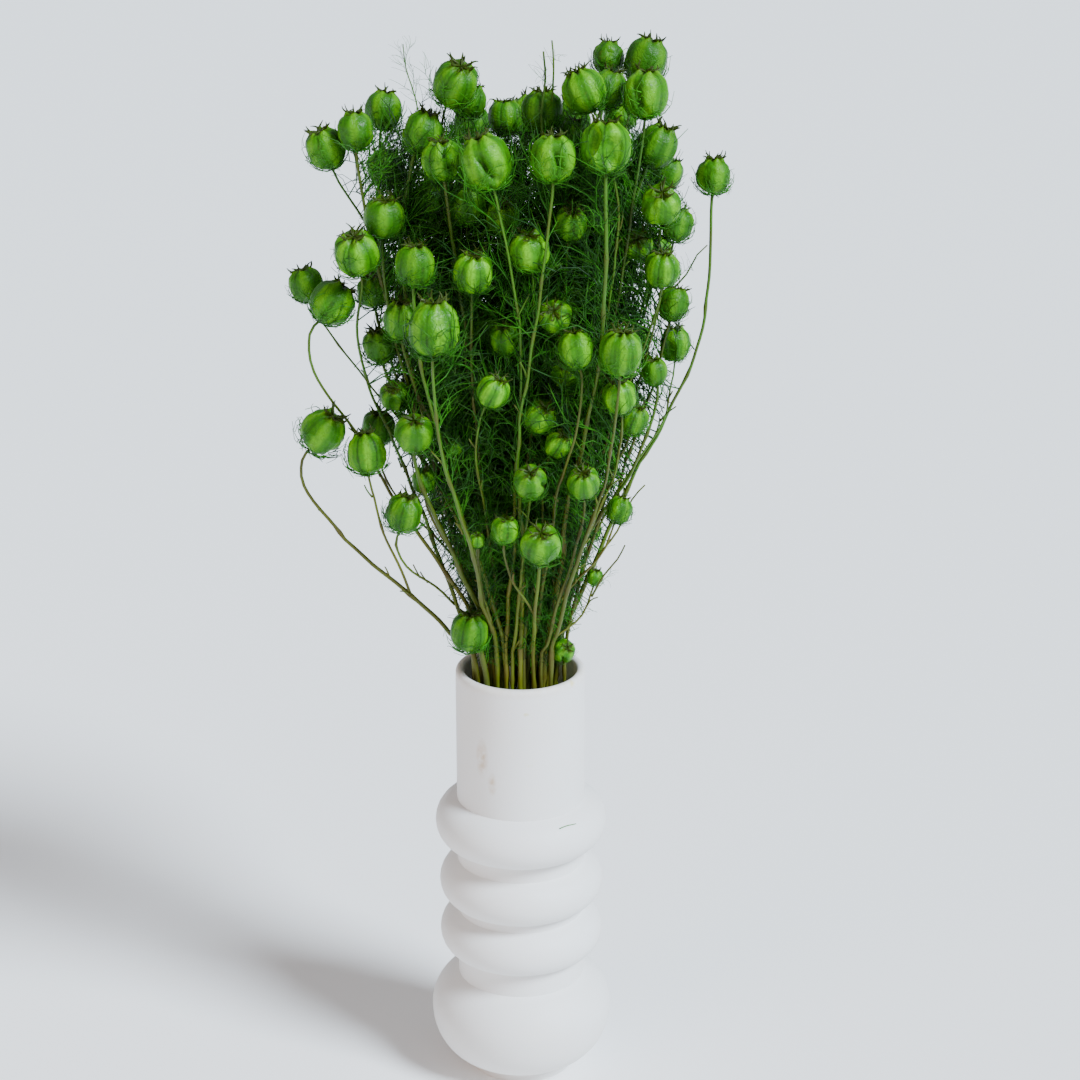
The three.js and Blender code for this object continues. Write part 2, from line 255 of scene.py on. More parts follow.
def smooth_between(a: object, b: object, c: object, d: object, t: float) -> object:
    """Returns the smooth value between b and c at t, with a and d as neighbours.

    Args:
        a: the value before b, a number or a vector.
        b: the value where t is 0.
        c: the value where t is 1.
        d: the value after c.
        t: the place between b and c.

    Returns:
        The value there.
    """
    square = (2 * a - 5 * b + 4 * c - d) * t**2
    cube = (3 * b - a - 3 * c + d) * t**3
    return 0.5 * (2 * b + (c - a) * t + square + cube)


def smooth_route(points: list[Vector], step: float) -> list[Vector]:
    """Runs a smooth curve through points.

    Args:
        points: the points that the curve passes through.
        step: the rough distance between the points that come back.

    Returns:
        Points along the curve, both ends included.
    """
    ends = [points[0] * 2 - points[1], *points, points[-1] * 2 - points[-2]]
    route = []
    for a, b, c, d in zip(ends, ends[1:], ends[2:], ends[3:]):
        pieces = max(1, round((c - b).length / step))
        route.extend(smooth_between(a, b, c, d, i / pieces) for i in range(pieces))
    return [*route, points[-1].copy()]


def ease(low: float, high: float, value: float) -> float:
    """Returns 0 at low, 1 at high, held beyond them, and a smooth step between them."""
    t = min(1.0, max(0.0, (value - low) / (high - low)))
    return t * t * (3 - 2 * t)


def paint_height(height: float) -> float:
    """Returns how far up the bunch a height is, as the stems' paint gives it."""
    return ease(PAINTED_FROM, PAINTED_TO, height)


# ---- Reading the sprigs' solids --------------------------------------------


@dataclass(frozen=True)
class PodPlace:
    """Where one pod sits.

    Attributes:
        centre: the middle of the pod's body.
        axis: the way its crown points.
        radius: its radius at the widest.
    """

    centre: Vector
    axis: Vector
    radius: float

    def matrix(self, spin: float, stretch: float) -> Matrix:
        """Returns the placing of a pod of unit radius.

        Args:
            spin: the pod's turn about its own axis.
            stretch: how much taller than wide it is.

        Returns:
            A 4 by 4 matrix.
        """
        turn = Vector((0, 0, 1)).rotation_difference(self.axis).to_matrix().to_4x4()
        size = Matrix.Diagonal((self.radius, self.radius, self.radius * stretch, 1))
        return Matrix.Translation(self.centre) @ turn @ Matrix.Rotation(spin, 4, "Z") @ size


@dataclass
class Limb:
    """A stem or a side branch: its route from the bottom up, and its radius."""

    points: list[Vector]
    radius: float
    is_stem: bool


@dataclass
class SprigSolid:
    """Finds the pods and limbs in one sprig's solid.

    A pod's crown is the only place where seven equal edges meet. What is left when the
    pods are taken away is a chain of small rings, one at each point of a limb's route.

    Attributes:
        node: the name of the sprig's CAD node.
    """

    node: str
    pods: list[PodPlace] = field(default_factory=list)
    limbs: list[Limb] = field(default_factory=list)

    CROWN_EDGES = 7
    UNEVEN = 0.03  # most that a crown's edges differ, as a share of the longest
    CROWN_RISE = (0.48, 0.57)  # the crown's least and most rise, as shares of its ring
    CROWN_RING = 0.42  # the crown ring's radius, in pod radii
    POLE_HEIGHT = 1.02  # the pole's height above the pod's middle, in pod radii
    BODY_REACH = 1.05  # what is nearer than this to a pod's middle is the pod, in pod radii
    CROWN_MIDDLE = 1.2  # height of the crown's middle above the pod's, in pod radii
    CROWN_REACH = 0.5  # what is nearer than this to the crown's middle is the pod
    SEAT = 0.9  # how far below a pod's middle its limb ends, in pod radii
    NECK = 10 * MM
    RING_EDGE = 2.6 * MM  # edges shorter than this lie within one ring

    def read(self) -> "SprigSolid":
        """Reads the solid and returns self."""
        solid = bmesh.new()
        solid.from_mesh(frame["nodes"][self.node].data)
        bmesh.ops.remove_doubles(solid, verts=solid.verts, dist=WELD)
        solid.verts.ensure_lookup_table()
        self._find_pods(solid)
        rings, links = self._find_rings(solid)
        self._trace_limbs(rings, links)
        solid.free()
        return self

    def _find_pods(self, solid: bmesh.types.BMesh) -> None:
        """Finds each pod by its crown's pole.

        Args:
            solid: the sprig's welded solid.
        """
        for pole in solid.verts:
            if len(pole.link_edges) != self.CROWN_EDGES:
                continue
            lengths = [edge.calc_length() for edge in pole.link_edges]
            if max(lengths) - min(lengths) > self.UNEVEN * max(lengths):
                continue
            ring = [edge.other_vert(pole).co for edge in pole.link_edges]
            middle = sum(ring, Vector()) / len(ring)
            reach = sum((p - middle).length for p in ring) / len(ring)
            rise = middle - pole.co
            least, most = self.CROWN_RISE
            if rise.length < least * reach or rise.length > most * reach:
                continue
            radius = reach / self.CROWN_RING
            axis = rise.normalized()
            centre = pole.co - axis * (self.POLE_HEIGHT * radius)
            self.pods.append(PodPlace(centre, axis, radius))

    def _in_pod(self, point: Vector) -> bool:
        """Tells whether a point belongs to a pod's surface.

        Args:
            point: the point.

        Returns:
            True if it is near the body or the crown of one of the pods.
        """
        for pod in self.pods:
            offset = point - pod.centre
            if offset.length < self.BODY_REACH * pod.radius:
                return True
            crown = pod.axis * self.CROWN_MIDDLE * pod.radius
            if (offset - crown).length < self.CROWN_REACH * pod.radius:
                return True
        return False

    def _find_rings(
        self, solid: bmesh.types.BMesh
    ) -> tuple[dict[int, list[Vector]], set[tuple[int, int]]]:
        """Gathers the limbs' vertices into rings.

        Args:
            solid: the sprig's welded solid.

        Returns:
            Each ring's points, and the pairs of rings that edges join.
        """
        kept = {v.index for v in solid.verts if not self._in_pod(v.co)}
        ring_of = {i: i for i in kept}

        def find(i: int) -> int:
            """Finds the vertex that stands for a vertex's ring.

            Args:
                i: the vertex.

            Returns:
                The vertex that stands for its ring.
            """
            while ring_of[i] != i:
                ring_of[i] = ring_of[ring_of[i]]
                i = ring_of[i]
            return i

        edges = [tuple(v.index for v in edge.verts) for edge in solid.edges]
        edges = [pair for pair in edges if pair[0] in kept and pair[1] in kept]
        for a, b in edges:
            if (solid.verts[a].co - solid.verts[b].co).length < self.RING_EDGE:
                ring_of[find(a)] = find(b)
        rings: dict[int, list[Vector]] = {}
        for i in kept:
            rings.setdefault(find(i), []).append(solid.verts[i].co.copy())
        links = {(find(a), find(b)) for a, b in edges if find(a) != find(b)}
        return rings, links

    def _trace_limbs(
        self, rings: dict[int, list[Vector]], links: set[tuple[int, int]]
    ) -> None:
        """Traces each pod's way down to the stem's foot along the rings.

        Args:
            rings: each ring's points.
            links: the pairs of rings that edges join.
        """
        middle = {i: sum(ring, Vector()) / len(ring) for i, ring in rings.items()}
        near: dict[int, set[int]] = {i: set() for i in rings}
        for a, b in links:
            near[a].add(b)
            near[b].add(a)
        foot = min(middle, key=lambda i: middle[i].z)
        back = {foot: foot}
        heap = [(0.0, foot, foot)]
        done: set[int] = set()
        while heap:
            far, ring, source = heapq.heappop(heap)
            if ring in done:
                continue
            done.add(ring)
            back[ring] = source
            for other in near[ring] - done:
                heapq.heappush(heap, (far + (middle[other] - middle[ring]).length, other, ring))
        self._cut_limbs(rings, middle, back, foot)

    def _cut_limbs(
        self,
        rings: dict[int, list[Vector]],
        middle: dict[int, Vector],
        back: dict[int, int],
        foot: int,
    ) -> None:
        """Cuts the traced ways into one stem and its side branches.

        Args:
            rings: each ring's points.
            middle: each ring's middle.
            back: the next ring on the way down from each ring.
            foot: the stem's lowest ring.
        """
        ends = []
        for pod in self.pods:
            neck = pod.centre - pod.axis * (self.SEAT * pod.radius + self.NECK)
            ring = min(back, key=lambda i: (middle[i] - neck).length)
            width = sum((p - middle[ring]).length for p in rings[ring]) / len(rings[ring])
            ends.append((width, ring, pod))
        used: set[int] = set()
        for number, (width, ring, pod) in enumerate(sorted(ends, key=lambda e: -e[0])):
            route = [pod.centre - pod.axis * self.SEAT * pod.radius]
            while ring not in used and ring != foot:
                route.append(middle[ring])
                used.add(ring)
                ring = back[ring]
            used.add(foot)
            route.append(middle[ring])
            self.limbs.append(Limb(thin_out(route[::-1]), width, number == 0))


def thin_out(route: list[Vector]) -> list[Vector]:
    """Drops the points of a route that crowd the one before them.

    Args:
        route: the route.

    Returns:
        The points that stay, both ends included.
    """
    crowded, crowded_end = 14 * MM, 5 * MM
    kept = [route[0]]
    for point in route[1:-1]:
        if (point - kept[-1]).length > crowded:
            kept.append(point)
    if (route[-1] - kept[-1]).length < crowded_end and len(kept) > 1:
        kept.pop()
    return [*kept, route[-1]]


# ---- Finishes ---------------------------------------------------------------


class NodeBench:
    """A short way to lay out a material's or a group's nodes."""

    def __init__(self, tree: bpy.types.NodeTree) -> None:
        """Starts work on a node tree."""
        self.tree = tree

    def add(self, kind: str, inputs: dict | None = None, **settings: object) -> bpy.types.Node:
        """Adds a node.

        Args:
            kind: the node's type name, without its ShaderNode prefix.
            inputs: values or output sockets for its inputs, by name or number.
            settings: the node's own settings.

        Returns:
            The new node.
        """
        made = self.tree.nodes.new("ShaderNode" + kind)
        for name, value in settings.items():
            setattr(made, name, value)
        for name, value in (inputs or {}).items():
            if isinstance(value, bpy.types.NodeSocket):
                self.tree.links.new(value, made.inputs[name])
            else:
                made.inputs[name].default_value = value
        return made

    def math(self, operation: str, *values: object) -> bpy.types.NodeSocket:
        """Adds a math node and returns its output."""
        made = self.add("Math", dict(enumerate(values)), operation=operation)
        return made.outputs[0]

    def mix(self, share: object, first: object, second: object) -> bpy.types.NodeSocket:
        """Adds a colour mix and returns its output."""
        made = self.add("Mix", {0: share, 6: first, 7: second}, data_type="RGBA")
        return made.outputs[2]

    def span(self, value: object, low: float, high: float) -> bpy.types.NodeSocket:
        """Maps low to high onto 0 to 1, held at both ends, and returns the output."""
        made = self.add("MapRange", {0: value, 1: low, 2: high, 3: 0.0, 4: 1.0})
        return made.outputs[0]

    def ramp(
        self, value: bpy.types.NodeSocket, stops: list[tuple[float, tuple]]
    ) -> bpy.types.NodeSocket:
        """Adds a colour ramp and returns its colour.

        Args:
            value: what drives the ramp.
            stops: places from 0 to 1 with their colours.

        Returns:
            The ramp's colour output.
        """
        made = self.add("ValToRGB", {0: value})
        elements = made.color_ramp.elements
        while len(elements) < len(stops):
            elements.new(0.5)
        for element, (place, colour) in zip(elements, stops):
            element.position = place
            element.color = (*colour, 1)
        return made.outputs[0]


def mottle_group() -> bpy.types.NodeTree:
    """Builds the blotches and fine wrinkles that all the dried plant parts share.

    Returns:
        A group with Scale in, and Blotch, Speck and Wrinkle out, each from 0 to 1.
    """
    group = bpy.data.node_groups.new("dried_mottle", "ShaderNodeTree")
    group.interface.new_socket("Scale", in_out="INPUT", socket_type="NodeSocketFloat")
    for name in ("Blotch", "Speck", "Wrinkle"):
        group.interface.new_socket(name, in_out="OUTPUT", socket_type="NodeSocketFloat")
    bench = NodeBench(group)
    entry = group.nodes.new("NodeGroupInput")
    leave = group.nodes.new("NodeGroupOutput")
    place = bench.add("TexCoord").outputs["Object"]
    scale = entry.outputs["Scale"]
    fine = bench.math("MULTIPLY", scale, 5.0)
    blotch = bench.add("TexNoise", {"Vector": place, "Scale": scale, "Detail": 3.0})
    speck = bench.add("TexNoise", {"Vector": place, "Scale": fine, "Detail": 2.0})
    crease = bench.add(
        "TexNoise", {"Vector": place, "Scale": bench.math("MULTIPLY", scale, 2.2), "Detail": 4.0}
    )
    ridge = bench.math("ABSOLUTE", bench.math("SUBTRACT", crease.outputs[0], 0.5))
    group.links.new(bench.span(blotch.outputs[0], 0.32, 0.68), leave.inputs["Blotch"])
    group.links.new(bench.span(speck.outputs[0], 0.5, 0.72), leave.inputs["Speck"])
    group.links.new(bench.span(ridge, 0.0, 0.09), leave.inputs["Wrinkle"])
    return group


class Finish:
    """A finish: one material, built once."""

    name = "finish"

    def material(self) -> bpy.types.Material:
        """Returns the finish's material, building it the first time."""
        found = bpy.data.materials.get(self.name)
        if found:
            return found
        made = bpy.data.materials.new(self.name)
        made.use_nodes = True
        made.node_tree.nodes.clear()
        bench = NodeBench(made.node_tree)
        surface = self.surface(bench)
        bench.add("OutputMaterial", {"Surface": surface.outputs[0]})
        return made

    def surface(self, bench: NodeBench) -> bpy.types.Node:
        """Lays out the nodes of the finish.

        Args:
            bench: where the nodes go.

        Returns:
            The surface shader.
        """
        raise NotImplementedError

    def paint(self, bench: NodeBench) -> bpy.types.NodeOutputs:
        """Adds the nodes that read a piece's paint, and returns its three numbers."""
        paint = bench.add("Attribute", attribute_name=PAINT).outputs["Vector"]
        return bench.add("SeparateXYZ", {0: paint}).outputs

    def mottle(self, bench: NodeBench, scale: float) -> bpy.types.NodeOutputs:
        """Adds the shared mottle group.

        Args:
            bench: where the nodes go.
            scale: how fine the mottle is.

        Returns:
            Its three masks: blotch, speck and wrinkle.
        """
        group = bpy.data.node_groups.get("dried_mottle") or mottle_group()
        made = bench.tree.nodes.new("ShaderNodeGroup")
        made.node_tree = group
        made.inputs["Scale"].default_value = scale
        return made.outputs


@dataclass(frozen=True)
class PodFinish(Finish):
    """The dyed skin of a pod.

    It reads the paint as (distance from a lobe's middle, height, shade). The first number also
    rises in the hollow and in deep dents and folds, as painted shade; the shade is partly each
    pod's own tone and partly painted shade on the pods deeper in the bunch. A height over 1 is a
    horn.
    """

    name: str = "pod_skin"
    # middle and flank: the lobes' faint pale stripes, with a painted highlight on the lobe middles
    # and painted shade on the flanks
    middle: tuple = (0.122, 0.41, 0.002)
    shaded_flank: tuple = (0.04, 0.205, 0.001)
    # seam: the thin seams' own dark colour, also used as painted shade in the hollow, the creases,
    # the dents and the folds
    seam_and_shade: tuple = (0.012, 0.065, 0.001)
    shade: tuple = (0.008, 0.06, 0.001)
    olive: tuple = (0.08, 0.11, 0.003)
    horn: tuple = (0.028, 0.046, 0.003)

    def _lobes(
        self, bench: NodeBench, across: bpy.types.NodeSocket, blotch: bpy.types.NodeSocket
    ) -> bpy.types.NodeSocket:
        """Colours the lobes from their pale middles to their dark seams: the faint pale stripes
        and thin seams are the pod's own, and the rest of the fall from middle to flank is a
        painted highlight on the middles and painted shade on the flanks.

        Args:
            bench: where the nodes go.
            across: the distance from a lobe's middle.
            blotch: the mask that makes the edges of the colours waver.

        Returns:
            The colour.
        """
        stops = [
            (0.0, tuple(c * 0.75 for c in self.middle)),
            (0.1, self.middle),
            (0.22, self.middle),
            (0.55, self.shaded_flank),
            (0.82, self.shaded_flank),
            (1.0, self.seam_and_shade),
        ]
        waver = bench.math("MULTIPLY", bench.math("SUBTRACT", blotch, 0.5), 0.16)
        return bench.ramp(bench.math("ADD", across, waver), stops)

    def _ends(
        self, bench: NodeBench, skin: bpy.types.NodeSocket, height: bpy.types.NodeSocket
    ) -> bpy.types.NodeSocket:
        """Paints shade on the foot and down in the hollow, darkens the rim with an olive tint, and
        turns the horns brown.

        Args:
            bench: where the nodes go.
            skin: the colour of the body.
            height: the height on the pod, over 1 on a horn.

        Returns:
            The colour.
        """
        # Painted shade on the foot, under the pod's body.
        foot = bench.math("MULTIPLY", bench.span(height, 0.22, 0.0), 0.55)
        skin = bench.mix(foot, skin, (*self.shade, 1))
        top = bench.math("MULTIPLY", bench.span(height, 0.86, 1.0), 0.4)
        skin = bench.mix(top, skin, (*self.olive, 1))
        # Painted shade down in the crown's hollow.
        skin = bench.mix(bench.span(height, 0.98, 1.05), skin, (*self.seam_and_shade, 1))
        return bench.mix(bench.span(height, 1.07, 1.16), skin, (*self.horn, 1))

    def surface(self, bench: NodeBench) -> bpy.types.Node:
        """Lays out the skin: pale lobes, dark seams, brown horns and a papery bump, with a painted
        highlight on the lobe middles and painted shade on the flanks, the foot, the hollow, the
        creases and the pods deeper in the bunch.

        Args:
            bench: where the nodes go.

        Returns:
            The surface shader.
        """
        across, height, own = self.paint(bench)
        blotch, speck, wrinkle = self.mottle(bench, 130.0)
        skin = self._lobes(bench, across, blotch)
        # A low shade darkens the skin: partly the pod's own tone, partly painted shade on the pods
        # deeper in the bunch.
        shaded_skin = bench.mix(0.8, skin, (*self.shade, 1))
        skin = bench.mix(bench.math("MULTIPLY", bench.span(own, 1.0, 0.0), 0.85), skin, shaded_skin)
        patch = bench.math("MULTIPLY", bench.span(blotch, 0.45, 0.0), 0.4)
        skin = bench.mix(patch, skin, (*self.shade, 1))
        stain = bench.math("MULTIPLY", speck, bench.span(blotch, 0.5, 0.9))
        skin = bench.mix(bench.math("MULTIPLY", stain, 0.45), skin, (*self.olive, 1))
        # Painted shade: the skin darkens along the wrinkles' creases.
        crease = bench.math("MULTIPLY", bench.span(wrinkle, 0.35, 0.0), 0.35)
        skin = bench.mix(crease, skin, (*self.seam_and_shade, 1))
        skin = self._ends(bench, skin, height)
        ripple = bench.math("ADD", wrinkle, bench.math("MULTIPLY", speck, 0.5))
        bump = bench.add("Bump", {"Strength": 0.35, "Distance": 0.0005, "Height": ripple})
        rough = bench.math("ADD", bench.math("MULTIPLY", blotch, 0.16), 0.34)
        return bench.add(
            "BsdfPrincipled",
            {
                "Base Color": skin,
                "Roughness": rough,
                "Normal": bump.outputs[0],
                "IOR": 1.4,
                "Specular IOR Level": 0.25,
            },
        )


@dataclass(frozen=True)
class StemFinish(Finish):
    """The skin of a stem. It reads the paint as (own shade, height, joint)."""

    name: str = "stem_skin"
    green: tuple = (0.044, 0.135, 0.003)
    straw: tuple = (0.105, 0.112, 0.003)
    brown: tuple = (0.06, 0.036, 0.005)
    dark: tuple = (0.012, 0.04, 0.002)

    def surface(self, bench: NodeBench) -> bpy.types.Node:
        """Lays out a skin that turns from straw at the bottom to green at the top.

        Args:
            bench: where the nodes go.

        Returns:
            The surface shader.
        """
        own, height, joint = self.paint(bench)
        blotch, _, wrinkle = self.mottle(bench, 45.0)
        shift = bench.math("MULTIPLY", bench.math("SUBTRACT", own, 0.5), 0.9)
        climb = bench.math("ADD", height, shift)
        skin = bench.mix(bench.span(climb, 0.05, 0.6), (*self.straw, 1), (*self.green, 1))
        patch = bench.math("MULTIPLY", bench.span(blotch, 0.4, 0.95), 0.5)
        skin = bench.mix(patch, skin, (*self.brown, 1))
        dry = bench.math("MULTIPLY", bench.span(own, 0.7, 0.95), 0.55)
        skin = bench.mix(dry, skin, (*self.brown, 1))
        deep = bench.math("MULTIPLY", bench.span(own, 0.4, 0.0), 0.6)
        skin = bench.mix(deep, skin, (*self.dark, 1))
        skin = bench.mix(bench.math("MULTIPLY", joint, 0.45), skin, (*self.brown, 1))
        place = bench.add("TexCoord").outputs["Object"]
        along = bench.add("Mapping", {0: place, 3: (1.0, 1.0, 0.06)}).outputs[0]
        fibre = bench.add("TexNoise", {"Vector": along, "Scale": 2400.0, "Detail": 1.0})
        bump = bench.add(
            "Bump", {"Strength": 0.4, "Distance": 0.0003, "Height": fibre.outputs[0]}
        )
        rough = bench.math("ADD", bench.math("MULTIPLY", wrinkle, 0.2), 0.38)
        return bench.add(
            "BsdfPrincipled",
            {
                "Base Color": skin,
                "Roughness": rough,
                "Normal": bump.outputs[0],
                "Specular IOR Level": 0.3,
            },
        )


@dataclass(frozen=True)
class ThreadFinish(Finish):
    """The thread-like bracts and leaves. It reads the paint as (own shade, along, unused)."""

    name: str = "thread_skin"
    deep: tuple = (0.002, 0.026, 0.001)
    fresh: tuple = (0.036, 0.225, 0.003)
    tip: tuple = (0.03, 0.045, 0.004)

    def surface(self, bench: NodeBench) -> bpy.types.Node:
        """Lays out deep green threads with some fresh ones and brown tips.

        Args:
            bench: where the nodes go.

        Returns:
            The surface shader.
        """
        own, along, _ = self.paint(bench)
        blotch, speck, _ = self.mottle(bench, 70.0)
        lively = bench.math("MULTIPLY", own, bench.math("ADD", blotch, 0.35))
        skin = bench.mix(bench.span(lively, 0.0, 1.0), (*self.deep, 1), (*self.fresh, 1))
        dry = bench.math("MULTIPLY", bench.span(along, 0.6, 1.0), 0.4)
        skin = bench.mix(dry, skin, (*self.tip, 1))
        rough = bench.math("ADD", bench.math("MULTIPLY", speck, 0.15), 0.45)
        return bench.add(
            "BsdfPrincipled",
            {"Base Color": skin, "Roughness": rough, "Specular IOR Level": 0.2},
        )


@dataclass(frozen=True)
class Smudge:
    """One faint mark on the clay.

    Attributes:
        place: its middle.
        width: how far it reaches sideways.
        height: how far it reaches up and down.
        colour: its colour.
    """

    place: tuple
    width: float
    height: float
    colour: tuple


@dataclass(frozen=True)
class CeramicFinish(Finish):
    """Matt unglazed ceramic, with a dusty lip and a few faint marks on the neck."""

    name: str = "bisque"
    clay: tuple = (0.75, 0.745, 0.735)
    warm: tuple = (0.64, 0.55, 0.43)
    lip: float = 0.2615
    lip_blend: float = 0.006
    smudges: tuple = (
        Smudge((-0.0228, -0.0316, 0.2215), 0.005, 0.014, (0.56, 0.43, 0.3)),
        Smudge((-0.0168, -0.0352, 0.2060), 0.0035, 0.008, (0.56, 0.43, 0.3)),
        Smudge((0.0036, -0.0388, 0.2528), 0.0022, 0.0014, (0.6, 0.52, 0.1)),
        Smudge((0.0060, -0.0385, 0.2195), 0.0022, 0.001, (0.62, 0.6, 0.25)),
        Smudge((0.0312, -0.0234, 0.2665), 0.003, 0.003, (0.7, 0.58, 0.15)),
    )

    def _mark(self, bench: NodeBench, place: object, patchy: object, smudge: Smudge) -> object:
        """Returns how strongly a smudge shows at a place.

        Args:
            bench: where the nodes go.
            place: the place on the object.
            patchy: a noise that breaks the smudge up.
            smudge: the smudge.

        Returns:
            The share of its colour.
        """
        offset = bench.add("VectorMath", {0: place, 1: smudge.place}, operation="SUBTRACT")
        reach = (1 / smudge.width, 1 / smudge.width, 1 / smudge.height)
        scaled = bench.add("VectorMath", {0: offset.outputs[0], 1: reach}, operation="MULTIPLY")
        apart = bench.add("VectorMath", {0: scaled.outputs[0]}, operation="LENGTH").outputs[1]
        near = bench.span(apart, 1.0, 0.2)
        return bench.math("MULTIPLY", near, bench.span(patchy, 0.3, 0.62))

    def surface(self, bench: NodeBench) -> bpy.types.Node:
        """Lays out the clay: a fine grain, warm clouds, a dusty lip and the smudges.

        Args:
            bench: where the nodes go.

        Returns:
            The surface shader.
        """
        place = bench.add("TexCoord").outputs["Object"]
        cloud = bench.add("TexNoise", {"Vector": place, "Scale": 14.0, "Detail": 3.0})
        grain = bench.add("TexNoise", {"Vector": place, "Scale": 1500.0, "Detail": 2.0})
        rub = bench.add("TexNoise", {"Vector": place, "Scale": 220.0, "Detail": 4.0})
        share = bench.math("MULTIPLY", bench.span(cloud.outputs[0], 0.4, 0.75), 0.14)
        clay = bench.mix(share, (*self.clay, 1), (*self.warm, 1))
        height = bench.add("SeparateXYZ", {0: place}).outputs[2]
        edge = bench.math("MULTIPLY", bench.span(height, self.lip, self.lip + self.lip_blend), 0.6)
        edge = bench.math("MULTIPLY", edge, bench.span(rub.outputs[0], 0.2, 0.7))
        clay = bench.mix(edge, clay, (*self.warm, 1))
        for smudge in self.smudges:
            mark = self._mark(bench, place, rub.outputs[0], smudge)
            clay = bench.mix(mark, clay, (*smudge.colour, 1))
        bump = bench.add(
            "Bump", {"Strength": 0.25, "Distance": 0.0003, "Height": grain.outputs[0]}
        )
        rough = bench.math("ADD", bench.math("MULTIPLY", cloud.outputs[0], 0.12), 0.56)
        return bench.add(
            "BsdfPrincipled", {"Base Color": clay, "Roughness": rough, "Normal": bump.outputs[0]}
        )


class Slot(Enum):
    """The record's material slots."""

    CERAMIC = "ceramic"
    PLANT = "dried_plant"


def hand_over(
    piece: bpy.types.Object, finish: Finish, node: str | None = None
) -> None:
    """Dresses a finished piece and puts it on the frame.

    Args:
        piece: the finished piece.
        finish: its finish.
        node: the CAD node that it stands for, if there is one.
    """
    piece.data.materials.clear()
    piece.data.materials.append(finish.material())
    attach(piece, "root")
    if node:
        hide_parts(node)


# ---- The vase ---------------------------------------------------------------


@dataclass
class Vase:
    """The ringed vase, turned from the outline of its CAD node.

    Attributes:
        node: the vase's CAD node.
        sides: how many faces go round it.
        step: the distance between two rows of faces on its outline.
        on_axis: what is nearer to the axis than this lies on it.
        on_line: what is nearer to a meridian than this lies on it.
        corner: the least turn, in degrees, that is a real corner of the outline.
        sharp: the least angle, in degrees, between faces that keeps a sharp edge.
    """

    node: str = "vase"
    sides: int = 96
    step: float = 3 * MM
    on_axis: float = 0.01 * MM
    on_line: float = 0.05 * MM
    corner: float = 55
    sharp: float = 38

    def outline(self) -> list[tuple[float, float]]:
        """Reads the half section from the CAD node, from the foot's middle round and back.

        Returns:
            Pairs of radius and height.
        """
        solid = bmesh.new()
        solid.from_mesh(frame["nodes"][self.node].data)
        bmesh.ops.remove_doubles(solid, verts=solid.verts, dist=WELD)
        poles = [v for v in solid.verts if math.hypot(v.co.x, v.co.y) < self.on_axis]
        foot = min(poles, key=lambda v: v.co.z)
        angle = None
        path = [(0.0, foot.co.z)]
        here, before = foot, None
        while True:
            after = [e.other_vert(here) for e in here.link_edges]
            after = [v for v in after if v is not before]
            ends = [v for v in after if v in poles]
            if ends and len(path) > 3:
                path.append((0.0, ends[0].co.z))
                break
            if angle is None:
                angle = math.atan2(after[0].co.y, after[0].co.x)
            meridian = Vector((math.cos(angle), math.sin(angle)))
            ahead = [
                v
                for v in after
                if abs(v.co.x * meridian.y - v.co.y * meridian.x) < self.on_line
                and v.co.x * meridian.x + v.co.y * meridian.y > MM
            ]
            before, here = here, min(ahead, key=lambda v: (v.co - here.co).length)
            path.append((math.hypot(here.co.x, here.co.y), here.co.z))
        solid.free()
        return path

    def soft_outline(self) -> list[tuple[float, float]]:
        """Returns the outline with its arcs made round again and its corners kept.

        Returns:
            Pairs of radius and height, from the foot's rim to the last one before the axis.
        """
        points = [Vector((r, 0, z)) for r, z in self.outline()]
        corners = [1]
        for i in range(2, len(points) - 2):
            back = (points[i] - points[i - 1]).normalized()
            ahead = (points[i + 1] - points[i]).normalized()
            if back.dot(ahead) < math.cos(math.radians(self.corner)):
                corners.append(i)
        corners.append(len(points) - 2)
        soft: list[Vector] = []
        for a, b in zip(corners, corners[1:]):
            soft.extend(smooth_route(points[a : b + 1], self.step)[:-1])
        soft.append(points[-2])
        return [(p.x, p.z) for p in soft]

    def build(self) -> bpy.types.Object:
        """Turns the vase: a disc is drawn up ring by ring along the outline.

        Returns:
            The vase's object.
        """
        rows = self.soft_outline()
        select_only()
        radius, height = rows[0]
        bpy.ops.mesh.primitive_circle_add(
            vertices=self.sides, radius=radius, location=(0, 0, height), fill_type="NGON"
        )
        piece = bpy.context.object
        bpy.ops.object.transform_apply(location=True, rotation=False, scale=False)
        bpy.ops.object.mode_set(mode="EDIT")
        bpy.ops.mesh.select_mode(type="EDGE")
        bpy.ops.mesh.select_all(action="SELECT")
        for next_radius, next_height in rows[1:]:
            bpy.ops.mesh.extrude_edges_move(
                TRANSFORM_OT_translate={"value": (0, 0, next_height - height)}
            )
            grow = next_radius / radius
            bpy.ops.transform.resize(
                value=(grow, grow, 1), center_override=(0, 0, next_height)
            )
            radius, height = next_radius, next_height
        bpy.ops.mesh.edge_face_add()
        bpy.ops.mesh.select_all(action="SELECT")
        bpy.ops.mesh.normals_make_consistent(inside=False)
        bpy.ops.object.mode_set(mode="OBJECT")
        bpy.ops.object.shade_smooth_by_angle(angle=math.radians(self.sharp))
        piece.name = "vase_body"
        return piece

    def dress(self) -> bpy.types.Object:
        """Builds the vase, gives it its finish and hands it over."""
        piece = self.build()
        hand_over(piece, CeramicFinish(), self.node)
        return piece


# ---- The pods ---------------------------------------------------------------


class Wear(Enum):
    """What has happened to a pod as it dried."""

    WHOLE = "whole"
    DENTED = "dented"
    FOLDED = "folded"
    WRINKLED = "wrinkled"
    OPEN = "open"


